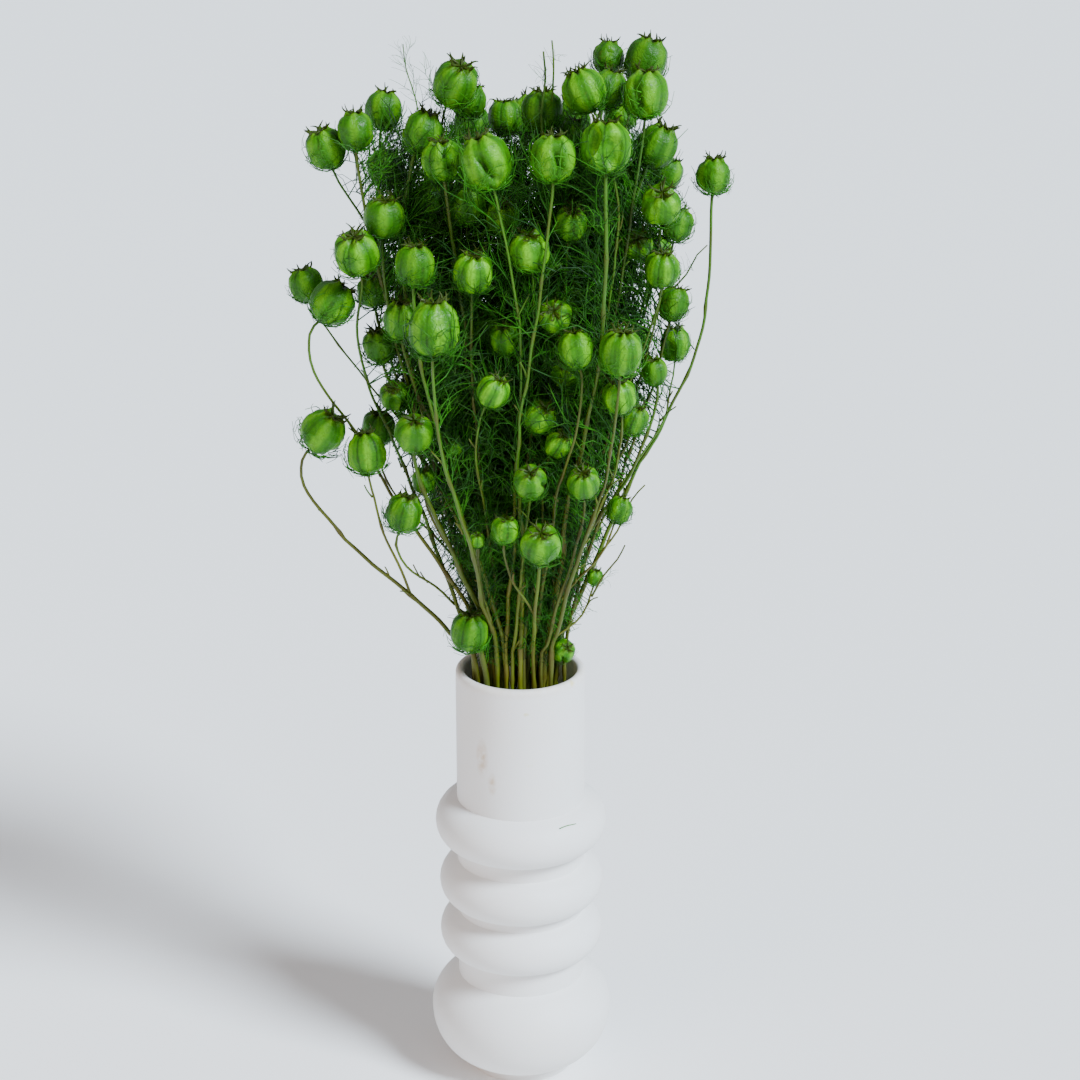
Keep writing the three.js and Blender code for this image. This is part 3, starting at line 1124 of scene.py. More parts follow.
class PodOutline:
    """The half section of a pod of unit radius, from its foot over the rim to the hollow.

    Attributes:
        KNOTS: radius and height at evenly spread places along the section.
        RIM: where the rim lies, as a share of the section.
        PER_KNOT: how many fine points stand for the way from one knot to the next.
    """

    KNOTS = (
        (0.0, -0.99),
        (0.37, -0.93),
        (0.71, -0.73),
        (0.93, -0.40),
        (1.0, -0.02),
        (0.97, 0.34),
        (0.86, 0.65),
        (0.64, 0.85),
        (0.40, 0.95),
        (0.27, 0.94),
        (0.13, 0.91),
        (0.0, 0.90),
    )
    RIM = 8 / 11
    PER_KNOT = 16

    def __init__(self) -> None:
        """Smooths the knots into a fine line."""
        ends = (self.KNOTS[0], *self.KNOTS, self.KNOTS[-1])
        self.fine = []
        for four in zip(ends, ends[1:], ends[2:], ends[3:]):
            for i in range(self.PER_KNOT):
                t = i / self.PER_KNOT
                self.fine.append(tuple(smooth_between(*values, t) for values in zip(*four)))
        self.fine.append(self.KNOTS[-1])

    def at(self, share: float) -> tuple[float, float]:
        """Finds a place on the section.

        Args:
            share: how far along the section it is, from 0 to 1.

        Returns:
            Its radius and height.
        """
        place = min(max(share, 0.0), 1.0) * (len(self.fine) - 1)
        low = min(int(place), len(self.fine) - 2)
        rest = place - low
        first, second = self.fine[low], self.fine[low + 1]
        return tuple(u + (v - u) * rest for u, v in zip(first, second))


@dataclass(frozen=True)
class Dent:
    """One flat dent in a pod of unit radius.

    Attributes:
        way: the way that the dent faces.
        start: how far from the middle it begins.
        waver: how much its edge wavers.
        waver_scale: how fine the waver is.
        push: how far the skin moves in for each unit that it stood out.
    """

    way: tuple
    start: float
    waver: float
    waver_scale: float
    push: float


@dataclass
class PodShape:
    """A pod of unit radius, crown up, whose worn side faces +X.

    Attributes:
        lobes: how many swollen lobes it has.
        seed: what its small differences grow from.
        wear: how it dried.
        faces_per_lobe: faces across one lobe.
        rows: faces from foot to hollow.
    """

    lobes: int
    seed: int
    wear: Wear = Wear.WHOLE
    faces_per_lobe: int = 10
    rows: int = 28

    TOOTH = 0.17  # how far a lobe's tip stands up
    RIM_WIDTH = 0.06  # how far the rim's shape reaches along the section
    SHRINK = 0.13  # how far a wrinkled pod has shrunk
    FOLD_DEPTH = 0.5
    FOLD_REACH = (0.34, 0.12)  # how far a fold reaches to its two sides
    DENTS = (
        Dent((0.93, 0.28, -0.22), 0.74, 0.1, 1.6, 2.1),
        Dent((0.75, -0.62, 0.25), 0.84, 0.08, 2.1, 1.9),
    )

    def __post_init__(self) -> None:
        """Draws the pod's own lobe sizes."""
        self.luck = random.Random(self.seed)
        self.outline = PodOutline()
        self.swell = [self.luck.uniform(-0.06, 0.035) for _ in range(self.lobes)]
        self.tooth = [self.luck.uniform(0.75, 1.25) for _ in range(self.lobes)]
        self.flare = 0.2 if self.wear is Wear.OPEN else self.luck.uniform(0.0, 0.1)

    def _lobe(self, angle: float) -> tuple[int, float]:
        """Finds the lobe that an angle falls in.

        Args:
            angle: the angle round the pod.

        Returns:
            The lobe's number, and the distance from its middle, from 0 to 1.
        """
        phase = (angle / TURN * self.lobes) % self.lobes
        number = int(phase) % self.lobes
        return number, abs(phase - int(phase) - 0.5) * 2

    def _skin_point(self, way: Vector) -> tuple[Vector, tuple[float, float, float]]:
        """Works out one point of the skin.

        Args:
            way: a point of the unit sphere.

        Returns:
            The point, and its paint.
        """
        share = math.acos(max(-1.0, min(1.0, -way.z))) / math.pi
        number, off = self._lobe(math.atan2(way.y, way.x))
        radius, height = self.outline.at(share)
        near_rim = math.exp(-(((share - self.outline.RIM) / self.RIM_WIDTH) ** 2))
        groove = 0.06 + 0.08 * ease(0.45, 0.7, share) + 0.05 * ease(0.3, 0.08, share)
        groove += 0.25 * near_rim * (self.wear is Wear.OPEN)
        bulge = 1 - groove * off**3.2 + self.swell[number] * (1 - off**2)
        bulge += 0.014 * math.exp(-(((off - 0.22) / 0.1) ** 2))
        tooth = self.tooth[number] * near_rim * (1 - off) ** 1.7
        radius = radius * bulge + self.flare * tooth
        height += (self.TOOTH - 0.4 * self.flare) * tooth - 0.1 * near_rim * off**2
        flat = Vector((way.x, way.y, 0))
        if flat.length > 1e-6:
            flat = flat.normalized() * radius
        point = Vector((flat.x, flat.y, height))
        climb = share / self.outline.RIM
        # sunk: how far a point lies down in the crown's hollow; it moves the paint towards the
        # dark seam colour as painted shade.
        sunk = ease(1.04, 1.2, climb)
        move = self._shrivel(point, off, climb)
        # Painted shade: where drying has pushed the skin far in, in dents and folds, the paint
        # moves towards the dark seam colour.
        pleat = 0.55 * ease(0.26, 0.46, move.length)
        across = min(1.0, max(off + 0.25 * off * sunk, 0.6 * sunk, pleat))
        return point + move, (across, min(climb, 1.02), 0.5)

    def _shrivel(self, point: Vector, off: float, climb: float) -> Vector:
        """Returns how far drying has moved a point of the skin.

        Args:
            point: the point on the plump skin.
            off: its distance from its lobe's middle.
            climb: its share of the way from the foot to the rim.

        Returns:
            The move.
        """
        seat = point + Vector((self.seed * 3.1, 0, 0))
        crease = abs(noise.noise(Vector((seat.x * 3.5, seat.y * 3.5, seat.z * 1.8))))
        out = point.normalized()
        deep = 0.05 if self.wear is Wear.WRINKLED else 0.012
        move = out * (0.03 * noise.noise(seat * 1.9) - deep * (1 - ease(0.0, 0.22, crease)))
        body = ease(1.0, 0.85, climb)
        if self.wear is Wear.WRINKLED:
            shrunk = self.SHRINK * body * (0.5 + noise.noise(seat * 1.3)) * (1 - 0.6 * off)
            move -= out * shrunk
        if self.wear is Wear.DENTED:
            for dent in self.DENTS:
                way = Vector(dent.way).normalized()
                waver = dent.waver * noise.noise(seat * dent.waver_scale)
                over = point.dot(way) - dent.start - waver
                move -= way * max(0.0, over) * dent.push * body
        if self.wear is Wear.FOLDED and point.x > 0:
            aside = point.y + 0.05 + 0.45 * point.z + 0.08 * noise.noise(seat * 2)
            near = max(0.0, 1 - abs(aside) / self.FOLD_REACH[aside <= 0])
            move -= out * self.FOLD_DEPTH * near * ease(0.8, 0.3, abs(point.z + 0.1))
        return move

    def _body(self) -> bpy.types.Object:
        """Shapes the pod's body from a round start."""
        select_only()
        bpy.ops.mesh.primitive_uv_sphere_add(
            segments=self.lobes * self.faces_per_lobe, ring_count=self.rows, radius=1
        )
        body = bpy.context.object
        paint = np.zeros((len(body.data.vertices), 3))
        for vertex in body.data.vertices:
            vertex.co, paint[vertex.index] = self._skin_point(vertex.co.copy())
        set_paint(body.data, paint)
        bpy.ops.object.shade_smooth()
        return body

    def _horn(self, number: int, angle: float) -> Strand:
        """Returns one curling horn that grows from a lobe's tip.

        Args:
            number: the lobe's number.
            angle: the angle of the horn's root round the pod.

        Returns:
            The horn.
        """
        luck = self.luck
        out = 0.39 + self.flare * self.tooth[number]
        up = 0.87 + (self.TOOTH - 0.4 * self.flare) * self.tooth[number]
        lean = luck.uniform(0.1, 1.1) + 1.2 * self.flare
        curl = luck.uniform(-1.4, 1.6)
        length = luck.uniform(0.22, 0.55)
        sideways = luck.uniform(-0.6, 0.6)
        points = [
            Vector((share * math.cos(angle), share * math.sin(angle), height))
            for share, height in ((0.04, 0.92), (0.5 * out, 0.5 * (0.96 + up)))
        ]
        turn, steps = 0.0, 6
        for _ in range(steps):
            points.append(Vector((out * math.cos(angle + turn), out * math.sin(angle + turn), up)))
            out += math.sin(lean) * length / steps
            up += math.cos(lean) * length / steps
            turn += sideways / steps
            lean += curl / steps
        radii = [0.03, 0.06] + [0.058 * (1 - i / steps) + 0.009 for i in range(steps)]
        paint = [(0.6, 1.14 + 0.02 * i, 0.5) for i in range(len(points))]
        return Strand(points, radii, paint)

    def build(self) -> bpy.types.Object:
        """Builds the pod's body and horns as one master shape.

        Returns:
            The master shape.
        """
        weave = Weaver(4)
        for number in range(self.lobes):
            angle = (number + 0.5) / self.lobes * TURN
            weave.add(self._horn(number, angle + self.luck.uniform(-0.05, 0.05)))
            weave.add(self._horn(number, angle + self.luck.uniform(-0.35, 0.35)))
        return join_pieces([self._body(), weave.make("horns")], f"pod_shape_{self.seed}")


# ---- The threads --------------------------------------------------------------


@dataclass
class RuffShape:
    """The lace cup of thread-like bracts that hugs a pod of unit radius.

    Attributes:
        seed: what its differences grow from.
        bracts: how many bracts stand round the pod.
        thread: the radius of a thread.
    """

    seed: int
    bracts: int = 7
    thread: float = 0.027

    def _thread(self, start: tuple, end: tuple, size: float) -> Strand:
        """Returns one thread between two places on the pod.

        Args:
            start: its first turn, share of the section and gap.
            end: its last turn, share of the section and gap.
            size: its radius at the start.

        Returns:
            The thread.
        """
        steps = 5
        phase = self.luck.uniform(0, TURN)
        wave = self.luck.uniform(0.08, 0.26)
        places = []
        for i in range(steps):
            t = i / (steps - 1)
            turn, share, gap = (a + (b - a) * t for a, b in zip(start, end))
            turn += wave * math.sin(5 * t + phase) * min(1.0, 2 * t)
            share += 0.25 * wave * math.cos(5 * t + phase) * min(1.0, 2 * t)
            gap += 0.8 * max(0.0, t - 0.6) * wave
            radius, height = self.outline.at(share)
            place = Vector((radius * math.cos(turn), radius * math.sin(turn), height))
            places.append(place + place.normalized() * gap)
        radii = [size * (1 - 0.6 * i / (steps - 1)) for i in range(steps)]
        return Strand(places, radii, [(0.5, i / (steps - 1), 0) for i in range(steps)])

    def build(self) -> bpy.types.Object:
        """Builds the cup as one master shape."""
        self.luck = random.Random(self.seed)
        self.outline = PodOutline()
        luck = self.luck
        weave = Weaver(3)
        for number in range(self.bracts):
            turn = (number + luck.uniform(-0.3, 0.3)) / self.bracts * TURN
            top = luck.choice((luck.uniform(0.2, 0.4), luck.uniform(0.3, 0.6)))
            gap = luck.uniform(0.03, 0.1)
            swing = luck.uniform(-0.5, 0.5)
            weave.add(
                self._thread((turn, 0.01, 0.05), (turn + swing, top, gap), self.thread * 1.4)
            )
            for side in range(8):
                share = 0.12 + 0.1 * side
                way = (1 if side % 2 else -1) * luck.uniform(0.35, 1.0)
                low = 0.01 + (top - 0.01) * share
                start = (turn + swing * share, low, 0.05 + (gap - 0.05) * share)
                end = (turn + way, low + luck.uniform(-0.05, 0.25), gap + luck.uniform(0, 0.2))
                weave.add(self._thread(start, end, self.thread))
        return weave.make(f"ruff_shape_{self.seed}")


@dataclass
class LeafShape:
    """A spray of curling threads of unit length that leaves its stem along +Z.

    Attributes:
        seed: what its differences grow from.
        thread: the radius of a thread.
    """

    seed: int
    thread: float = 0.0095

    def _curl(self, start: Vector, way: Vector, length: float, size: float, steps: int) -> Strand:
        """Returns one thread that curls as it goes.

        Args:
            start: where it starts.
            way: the way it starts.
            length: its length.
            size: its radius at the start.
            steps: how many points it has.

        Returns:
            The thread.
        """
        luck = self.luck
        axis = Vector(luck.uniform(-1, 1) for _ in range(3)).normalized()
        bend = Quaternion(axis, luck.uniform(0.15, 0.75))
        points, here, heading = [], start.copy(), way.normalized()
        for _ in range(steps):
            points.append(here.copy())
            here += heading * length / (steps - 1)
            heading = bend @ heading
        radii = [size * (1 - 0.5 * i / (steps - 1)) for i in range(steps)]
        return Strand(points, radii, [(0.5, i / (steps - 1), 0) for i in range(steps)])

    def build(self) -> bpy.types.Object:
        """Builds the spray as one master shape."""
        self.luck = random.Random(self.seed)
        luck = self.luck
        weave = Weaver(3)
        spine = self._curl(Vector(), Vector((0.2, 0, 1)), 1.0, self.thread * 1.3, 5)
        weave.add(spine)
        for number in range(7):
            root = spine.points[1 + number % 3].lerp(spine.points[2 + number % 3], luck.random())
            way = Vector((luck.uniform(-1, 1), luck.uniform(-1, 1), luck.uniform(0.4, 1.5)))
            weave.add(self._curl(root, way, luck.uniform(0.4, 0.75), self.thread, 4))
        return weave.make(f"leaf_shape_{self.seed}")


# ---- The sprigs ---------------------------------------------------------------


@dataclass
class Shapes:
    """The master shapes that all the sprigs share."""

    pods: dict[Wear, list[bpy.types.Object]]
    ruffs: list[bpy.types.Object]
    leaves: list[bpy.types.Object]


@dataclass
class Sprig:
    """One dressed sprig: its stems with their joints and stubs, its pods and its threads.

    Attributes:
        solid: what its CAD node says.
        number: its number in the bunch.
        shapes: the master shapes.
    """

    solid: SprigSolid
    number: int
    shapes: Shapes

    STEP = 6 * MM
    LOWEST_LEAF = 0.278  # height below which no leaf or side shoot grows
    CANOPY = 0.598  # height above which no leaf reaches
    CANOPY_DROP = 0.35  # how much lower the canopy is for each metre towards the back
    LEAF_EVERY = 7 * MM
    LEAF_LEAST = 9 * MM  # least room under the canopy for a leaf
    LEAF_EDGE = 0.98  # share of the bunch's reach beyond which no leaf grows
    KINK = 1.8 * MM  # how far a stem may step aside at a joint
    WANDER = 1.3 * MM  # how far a stem wanders between its joints
    WANDER_SCALE = 45
    JOINT_SWELL = 0.35
    GIRTHS = (0.8, 0.9, 1.0, 1.05, 1.15, 1.35)
    WEAR_ODDS = (0.46, 0.12, 0.08, 0.28, 0.06)  # in the order of Wear
    FACES_VIEWER = -0.7  # a pod that points this far to the front shows its opening
    WORN_FRONT = {"sprig_08": Wear.FOLDED, "sprig_17": Wear.DENTED}

    def __post_init__(self) -> None:
        """Seeds the sprig's own small differences and places its pods."""
        self.luck = random.Random(100 + self.number)
        self.girth = self.luck.choice(self.GIRTHS)
        self.routes = [smooth_route(limb.points, self.STEP) for limb in self.solid.limbs]
        self.podded = [self._choose(i, pod) for i, pod in enumerate(self.solid.pods)]

    def _choose(self, order: int, pod: PodPlace) -> tuple[bpy.types.Object, Matrix]:
        """Chooses a pod's shape and turns it.

        Args:
            order: the pod's number on the sprig.
            pod: where it sits.

        Returns:
            The master shape and its place.
        """
        spin = self.luck.uniform(0, TURN)
        wear = self.luck.choices(list(Wear), self.WEAR_ODDS)[0]
        if pod.axis.y < self.FACES_VIEWER:
            wear = Wear.OPEN
        if order == 0 and self.solid.node in self.WORN_FRONT:
            wear = self.WORN_FRONT[self.solid.node]
            spin = -TURN / 4
        place = pod.matrix(spin, self.luck.uniform(0.95, 1.08))
        return self.luck.choice(self.shapes.pods[wear]), place

    def _limb_strand(self, limb: Limb, route: list[Vector]) -> Strand:
        """Returns a limb as a strand that tapers upwards and swells at its joints.

        Args:
            limb: the limb.
            route: its smooth route.

        Returns:
            The strand.
        """
        shade = self.luck.random()
        next_joint = self.luck.uniform(30, 60) * MM
        run = 0.0
        kink, aim = Vector(), Vector()
        points, radii, paint = [], [], []
        for i, point in enumerate(route):
            share = i / (len(route) - 1)
            run += (point - route[i - 1]).length if i else 0
            joint = 0.0
            if run > next_joint and share < 0.93:
                joint = 1.0
                next_joint = run + self.luck.uniform(22, 60) * MM
                aim = Vector((self.luck.uniform(-1, 1), self.luck.uniform(-1, 1), 0)) * self.KINK
            kink = kink.lerp(aim, 0.35)
            seat = point * self.WANDER_SCALE + Vector((self.number, 0, 0))
            wander = noise.noise_vector(seat) * self.WANDER
            points.append(point + (wander + kink) * min(1.0, 6 * share, 6 * (1 - share)))
            slim = ease(0.27, 0.45, point.z)
            taper = 1.1 - 0.4 * slim if limb.is_stem else 0.95 - 0.15 * slim
            swell = 1 + self.JOINT_SWELL * joint
            radii.append(limb.radius * self.girth * (taper - 0.12 * share) * swell)
            paint.append((shade, paint_height(point.z), joint))
        return Strand(points, radii, paint)

    def _stub(self, root: Vector, way: Vector) -> Strand:
        """Returns a short broken side shoot.

        Args:
            root: where it grows from.
            way: the way that it grows.

        Returns:
            The shoot.
        """
        length = self.luck.uniform(5, 14) * MM
        bend = Vector(self.luck.uniform(-1, 1) for _ in range(3)) * 0.3
        points = [root + (way + bend * t) * length * t for t in (0, 0.35, 0.7, 1)]
        shade = self.luck.random()
        radii = [0.7 * MM, 0.5 * MM, 0.45 * MM, 0.4 * MM]
        paint = [(shade, paint_height(root.z), j) for j in (1, 0, 0, 0.8)]
        return Strand(points, radii, paint)

    def _outward(self, point: Vector) -> Vector:
        """Chooses a way that leans up and roughly out of the bunch.

        Args:
            point: where it starts.

        Returns:
            The way.
        """
        angle = math.atan2(point.y, point.x) + self.luck.uniform(-1.4, 1.4)
        return Vector((math.cos(angle), math.sin(angle), self.luck.uniform(0.8, 2.2))).normalized()

    def stems(self) -> bpy.types.Object:
        """Weaves the sprig's stem, branches and stubs into one piece."""
        weave = Weaver(6)
        for limb, route in zip(self.solid.limbs, self.routes):
            weave.add(self._limb_strand(limb, route))
            above = [p for p in route if p.z > self.LOWEST_LEAF]
            low_part = above[: int(len(above) * 0.85)]
            for root in self.luck.sample(low_part, min(len(low_part), 2)):
                weave.add(self._stub(root, self._outward(root)))
        return weave.make(f"{self.solid.node}_stems")

    def pods(self) -> bpy.types.Object:
        """Copies a pod shape to each of the sprig's pods."""
        copies = []
        for shape, place in self.podded:
            # Pods towards the front get a higher shade: painted light on the front pods and
            # painted shade on those deeper in the bunch, over a random tone of their own.
            near = ease(0.0, -0.05, place.translation.y)
            shade = self.luck.uniform(0.0, 0.65) + 0.35 * near
            copies.append(copy_piece(shape, place, 2, shade))
        return join_pieces(copies, f"{self.solid.node}_pods")

    def threads(self) -> bpy.types.Object:
        """Copies a lace cup to each pod and leaves along the limbs."""
        copies = []
        for _, place in self.podded:
            shape = self.luck.choice(self.shapes.ruffs)
            copies.append(copy_piece(shape, place, 0, self.luck.uniform(0.45, 1.0)))
        for route in self.routes:
            copies.extend(self._leaves(route))
        return join_pieces(copies, f"{self.solid.node}_threads")

    def _leaf_way(self, point: Vector, edge: float) -> Vector:
        """Returns the way a leaf grows: upwards, and inwards at the edge of the bunch.

        Args:
            point: where the leaf starts.
            edge: 0 at the middle of the bunch, 1 at its edge.

        Returns:
            The way.
        """
        wild = Vector(self.luck.uniform(-1, 1) for _ in range(3))
        inward = Vector((-point.x, -point.y, 0)).normalized()
        return wild * 0.55 + Vector((0, 0, 1)) + inward * 1.1 * edge

    def _room(self, root: Vector) -> float:
        """Returns how much room there is under the canopy for a leaf."""
        return self.CANOPY - self.CANOPY_DROP * max(0.0, root.y) - root.z

    def _leaf(self, root: Vector, edge: float) -> bpy.types.Object:
        """Copies one leaf onto a limb.

        Args:
            root: where it grows from.
            edge: 0 at the middle of the bunch, 1 at its edge.

        Returns:
            The leaf.
        """
        turn = Vector((0, 0, 1)).rotation_difference(self._leaf_way(root, min(1.0, edge)))
        spin = Matrix.Rotation(self.luck.uniform(0, TURN), 4, "Z")
        size = self.luck.uniform(20, 38) * MM
        size *= 0.7 + 0.5 * ease(0.29, 0.42, root.z)
        size *= 1 - 0.5 * ease(0.045, 0.08, root.y)
        size = min(size, self._room(root))
        place = Matrix.Translation(root) @ turn.to_matrix().to_4x4() @ spin
        shape = self.luck.choice(self.shapes.leaves)
        shade = self.luck.uniform(0.0, 0.8)
        return copy_piece(shape, place @ Matrix.Scale(size, 4), 0, shade)

    def _leaves(self, route: list[Vector]) -> list[bpy.types.Object]:
        """Copies leaves along one limb.

        Args:
            route: its smooth route.

        Returns:
            The leaves.
        """
        leaves = []
        for before, point in zip(route, route[1:]):
            edge = math.hypot(point.x, point.y) / bunch_reach(point.z)
            if point.z < self.LOWEST_LEAF or edge > self.LEAF_EDGE:
                continue
            if self._room(point) < self.LEAF_LEAST:
                continue
            crowd = 2.6 + 2.0 * ease(0.46, 0.56, point.z) + 1.4 * ease(0.38, 0.3, point.z)
            crowd *= 1 - ease(0.75, self.LEAF_EDGE, edge)
            crowd *= 0.4 + 0.8 * ease(-0.05, 0.02, point.y)
            count = crowd * (point - before).length / self.LEAF_EVERY
            for _ in range(int(count + self.luck.random())):
                leaves.append(self._leaf(before.lerp(point, self.luck.random()), edge))
        return leaves

    def dress(self) -> None:
        """Builds the sprig's three pieces and hands them over."""
        node = self.solid.node
        hand_over(self.stems(), StemFinish(), node)
        hand_over(self.pods(), PodFinish(), node)
        hand_over(self.threads(), ThreadFinish(), node)


def bunch_reach(height: float) -> float:
    """Returns how far the bunch spreads from its axis at a height."""
    return 0.046 + 0.06 * ease(0.27, 0.48, height)


@dataclass(frozen=True)
class Shoot:
    """A bare or feathery shoot with no pod.

    Attributes:
        foot: where it starts, inside the bunch.
        tip: where it ends.
        radius: its radius at the foot.
        sprays: how many sprays of threads grow from it.
    """

    foot: tuple
    tip: tuple
    radius: float
    sprays: int = 0


@dataclass
class LooseShoots:
    """The shoots that have lost their pods, or never had any.

    Attributes:
        shapes: the master shapes.
    """

    shapes: Shapes

    SHOOTS = (
        Shoot((0.0137, -0.020, 0.580), (0.0136, -0.020, 0.638), 0.9 * MM, 2),
        Shoot((0.0195, -0.018, 0.580), (0.0182, -0.020, 0.644), 0.8 * MM, 3),
        Shoot((-0.0535, -0.018, 0.590), (-0.0627, -0.020, 0.642), 0.5 * MM, 7),
        Shoot((-0.0420, -0.010, 0.585), (-0.0450, -0.012, 0.628), 0.4 * MM, 5),
        Shoot((0.0450, -0.020, 0.345), (0.0722, -0.020, 0.389), 0.7 * MM),
        Shoot((0.0420, -0.020, 0.320), (0.0611, -0.020, 0.352), 0.7 * MM, 1),
        Shoot((0.0860, -0.004, 0.500), (0.1060, -0.006, 0.527), 0.6 * MM, 1),
    )

    SPRAY_FROM, SPRAY_RUN = 0.35, 0.6  # the shares of a shoot that carry its sprays

    def _spray(self, luck: random.Random, root: Vector, way: Vector) -> bpy.types.Object:
        """Copies one spray of threads onto a shoot.

        Args:
            luck: where the spray's differences come from.
            root: where it grows from.
            way: the way that the shoot runs.

        Returns:
            The spray.
        """
        way = way + Vector(luck.uniform(-1, 1) for _ in range(3)) * 0.03
        turn = Vector((0, 0, 1)).rotation_difference(way).to_matrix().to_4x4()
        size = Matrix.Scale(luck.uniform(10, 17) * MM, 4)
        spin = Matrix.Rotation(luck.uniform(0, TURN), 4, "Z")
        place = Matrix.Translation(root) @ turn @ spin @ size
        shape = luck.choice(self.shapes.leaves)
        return copy_piece(shape, place, 0, luck.uniform(0.3, 0.9))

    def dress(self) -> None:
        """Builds the shoots and their threads and hands them over."""
        luck = random.Random(7)
        weave = Weaver(5)
        sprays = []
        for shoot in self.SHOOTS:
            foot, tip = Vector(shoot.foot), Vector(shoot.tip)
            bend = Vector(luck.uniform(-1, 1) for _ in range(3)) * 0.05 * (tip - foot).length
            ends = [foot, foot.lerp(tip, 0.4) + bend, foot.lerp(tip, 0.75) - bend, tip]
            route = smooth_route(ends, 6 * MM)
            radii = [shoot.radius * (1 - 0.4 * i / len(route)) for i in range(len(route))]
            shade = luck.uniform(0.1, 0.9)
            paint = [(shade, paint_height(p.z), float(p is route[-1])) for p in route]
            weave.add(Strand(route, radii, paint))
            for spray in range(shoot.sprays):
                share = self.SPRAY_FROM + self.SPRAY_RUN * spray / shoot.sprays
                root = route[int(share * (len(route) - 1))]
                sprays.append(self._spray(luck, root, tip - foot))
        hand_over(weave.make("loose_stems"), StemFinish())
        hand_over(join_pieces(sprays, "loose_threads"), ThreadFinish())


@dataclass
class FallenThread:
    """One dry thread that has dropped onto the vase's top ring.

    Attributes:
        ring_height: height of the ring's middle.
        ring_middle: distance of the ring's section from the axis.
        section: radius of the ring's section.
        climb: how far up the ring's shoulder it lies, in radians.
        start: where it starts round the vase, in radians.
        spread: how far it runs round the vase, in radians.
        thickness: its radius at the start.
    """

    ring_height: float = 167.5 * MM
    ring_middle: float = 36.2 * MM
    section: float = 16 * MM
    climb: float = 0.84
    start: float = 0.52
    spread: float = 0.26
    thickness: float = 0.35 * MM

    def dress(self) -> None:
        """Builds the thread and hands it over."""
        points, steps = [], 7
        for i in range(steps):
            share = i / (steps - 1)
            turn = self.start + self.spread * share
            climb = self.climb + 0.03 * math.sin(4 * share)
            above = self.section + 0.8 * self.thickness
            out = self.ring_middle + above * math.cos(climb)
            height = self.ring_height + above * math.sin(climb)
            points.append(Vector((out * math.sin(turn), -out * math.cos(turn), height)))
        radii = [self.thickness * (1 - 0.5 * i / steps) for i in range(steps)]
        weave = Weaver(5)
        weave.add(Strand(points, radii, [(0.9, 0.2, 0)] * steps))
        hand_over(weave.make("fallen_thread"), ThreadFinish())


class Bunch:
    """All the sprigs, and the master shapes that they share."""

    POD_SHAPES = (
        (5, 1, Wear.WHOLE),
        (6, 2, Wear.WHOLE),
        (5, 3, Wear.WHOLE),
        (7, 4, Wear.WHOLE),
        (6, 5, Wear.DENTED),
        (5, 6, Wear.FOLDED),
        (6, 7, Wear.WRINKLED),
        (5, 8, Wear.WRINKLED),
        (6, 9, Wear.OPEN),
        (5, 10, Wear.OPEN),
    )

    def __init__(self) -> None:
        """Builds the master shapes and reads the sprigs' solids."""
        pods: dict[Wear, list[bpy.types.Object]] = {}
        for lobes, seed, wear in self.POD_SHAPES:
            pods.setdefault(wear, []).append(PodShape(lobes, seed, wear).build())
        ruffs = [RuffShape(seed).build() for seed in (11, 12, 13, 14)]
        leaves = [LeafShape(seed).build() for seed in range(21, 29)]
        self.shapes = Shapes(pods, ruffs, leaves)
        nodes = sorted(n for n in frame["nodes"] if n.startswith("sprig_"))
        self.solids = [SprigSolid(node).read() for node in nodes]

    def dress(self) -> None:
        """Dresses every sprig, then removes the master shapes."""
        for number, solid in enumerate(self.solids):
            Sprig(solid, number, self.shapes).dress()
        LooseShoots(self.shapes).dress()
        masters = [*self.shapes.ruffs, *self.shapes.leaves]
        masters += [pod for kind in self.shapes.pods.values() for pod in kind]
        for shape in masters:
            bpy.data.objects.remove(shape)


# ---- The studio ---------------------------------------------------------------


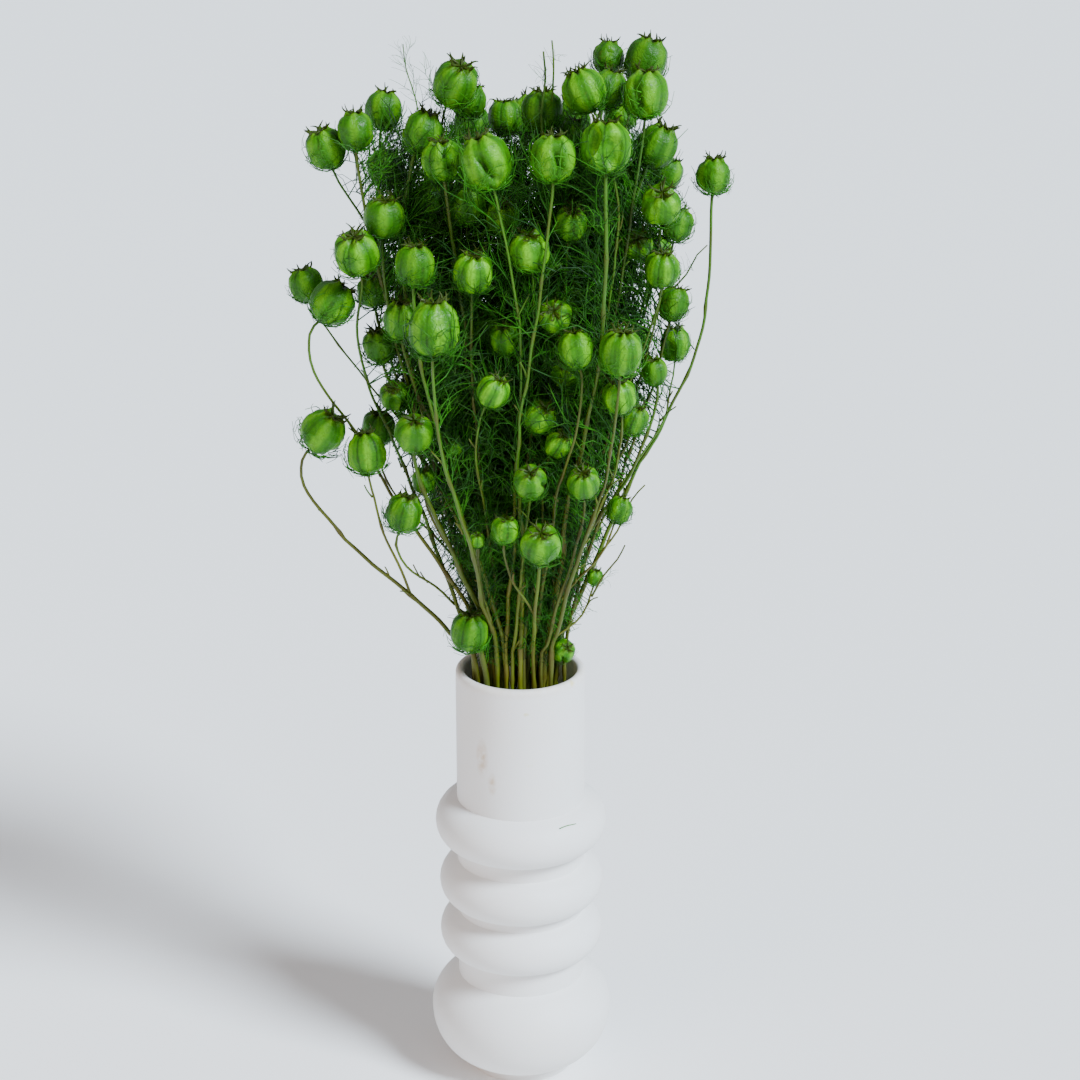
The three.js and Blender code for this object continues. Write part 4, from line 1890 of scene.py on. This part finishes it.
@dataclass
class Studio:
    """The camera, the floor and the lights."""

    lens: float = 86.7
    camera_place: tuple = (0.0117, -1.440, 0.8721)
    camera_pitch: float = 70.0
    floor_colour: tuple = (0.93, 0.925, 0.92, 1)
    air_colour: tuple = (0.88, 0.93, 1.0, 1)
    cool: tuple = (0.77, 0.885, 1.0)
    warm: tuple = (1.0, 0.6, 0.36)
    aim: tuple = (0, 0, 0.35)

    def camera(self) -> None:
        """Sets the camera a little above the bunch, looking down at it."""
        lens = bpy.data.cameras.new("view")
        lens.lens = self.lens
        lens.sensor_width = 36
        lens.clip_end = 60
        view = bpy.data.objects.new("view", lens)
        view.location = self.camera_place
        view.rotation_euler = (math.radians(self.camera_pitch), 0, 0)
        bpy.context.scene.collection.objects.link(view)
        bpy.context.scene.camera = view

    def floor(self) -> None:
        """Lays a wide pale floor under the vase."""
        select_only()
        bpy.ops.mesh.primitive_plane_add(size=24, location=(0, 0, 0))
        floor = bpy.context.object
        floor.name = "floor"
        paper = bpy.data.materials.new("pale_floor")
        paper.use_nodes = True
        surface = paper.node_tree.nodes["Principled BSDF"]
        surface.inputs["Base Color"].default_value = self.floor_colour
        surface.inputs["Roughness"].default_value = 0.8
        floor.data.materials.append(paper)

    def light(self, name: str, kind: str, place: tuple, settings: dict) -> None:
        """Hangs one soft lamp that faces the bunch.

        Args:
            name: the lamp's name.
            kind: SUN or AREA.
            place: where it hangs.
            settings: the lamp's own settings.
        """
        lamp = bpy.data.lights.new(name, kind)
        for key, value in settings.items():
            setattr(lamp, key, value)
        hung = bpy.data.objects.new(name, lamp)
        hung.location = place
        aim = Vector(self.aim) - Vector(place)
        hung.rotation_euler = aim.to_track_quat("-Z", "Y").to_euler()
        bpy.context.scene.collection.objects.link(hung)

    def set_up(self) -> None:
        """Sets up the whole studio."""
        self.camera()
        self.floor()
        window = {"energy": 8.6, "angle": 0.35, "color": self.cool}
        self.light("window", "SUN", (3.0, -2.2, 3.8), window)
        room_lamp = {"energy": 20, "size": 1.4, "color": self.warm}
        self.light("room_lamp", "AREA", (-1.6, -1.7, 1.0), room_lamp)
        world = bpy.data.worlds.new("soft_room")
        world.use_nodes = True
        air = world.node_tree.nodes["Background"]
        air.inputs[0].default_value = self.air_colour
        air.inputs[1].default_value = 0.46
        bpy.context.scene.world = world


def main() -> None:
    """Builds the studio, the vase and the bunch, and reports each."""
    noise.seed_set(NOISE_SEED)
    Studio().set_up()
    log.info("studio set up")
    vase = Vase().dress()
    log.info("vase: %d faces", len(vase.data.polygons))
    bunch = Bunch()
    log.info(
        "read %d sprigs with %d pods and %d limbs",
        len(bunch.solids),
        sum(len(s.pods) for s in bunch.solids),
        sum(len(s.limbs) for s in bunch.solids),
    )
    bunch.dress()
    FallenThread().dress()
    faces = sum(len(o.data.polygons) for o in bpy.data.objects if o.type == "MESH")
    log.info("bunch dressed: %d faces in all", faces)
    for kind in ("stems", "pods", "threads"):
        pieces = [o.data for o in bpy.data.objects if o.name.endswith(kind)]
        count = sum(len(mesh.polygons) for mesh in pieces)
        log.info("%s: %d faces in %d pieces", kind, count, len(pieces))


if __name__ == "__main__":
    logging.basicConfig(level=logging.INFO, format="%(name)s: %(message)s")
    main()
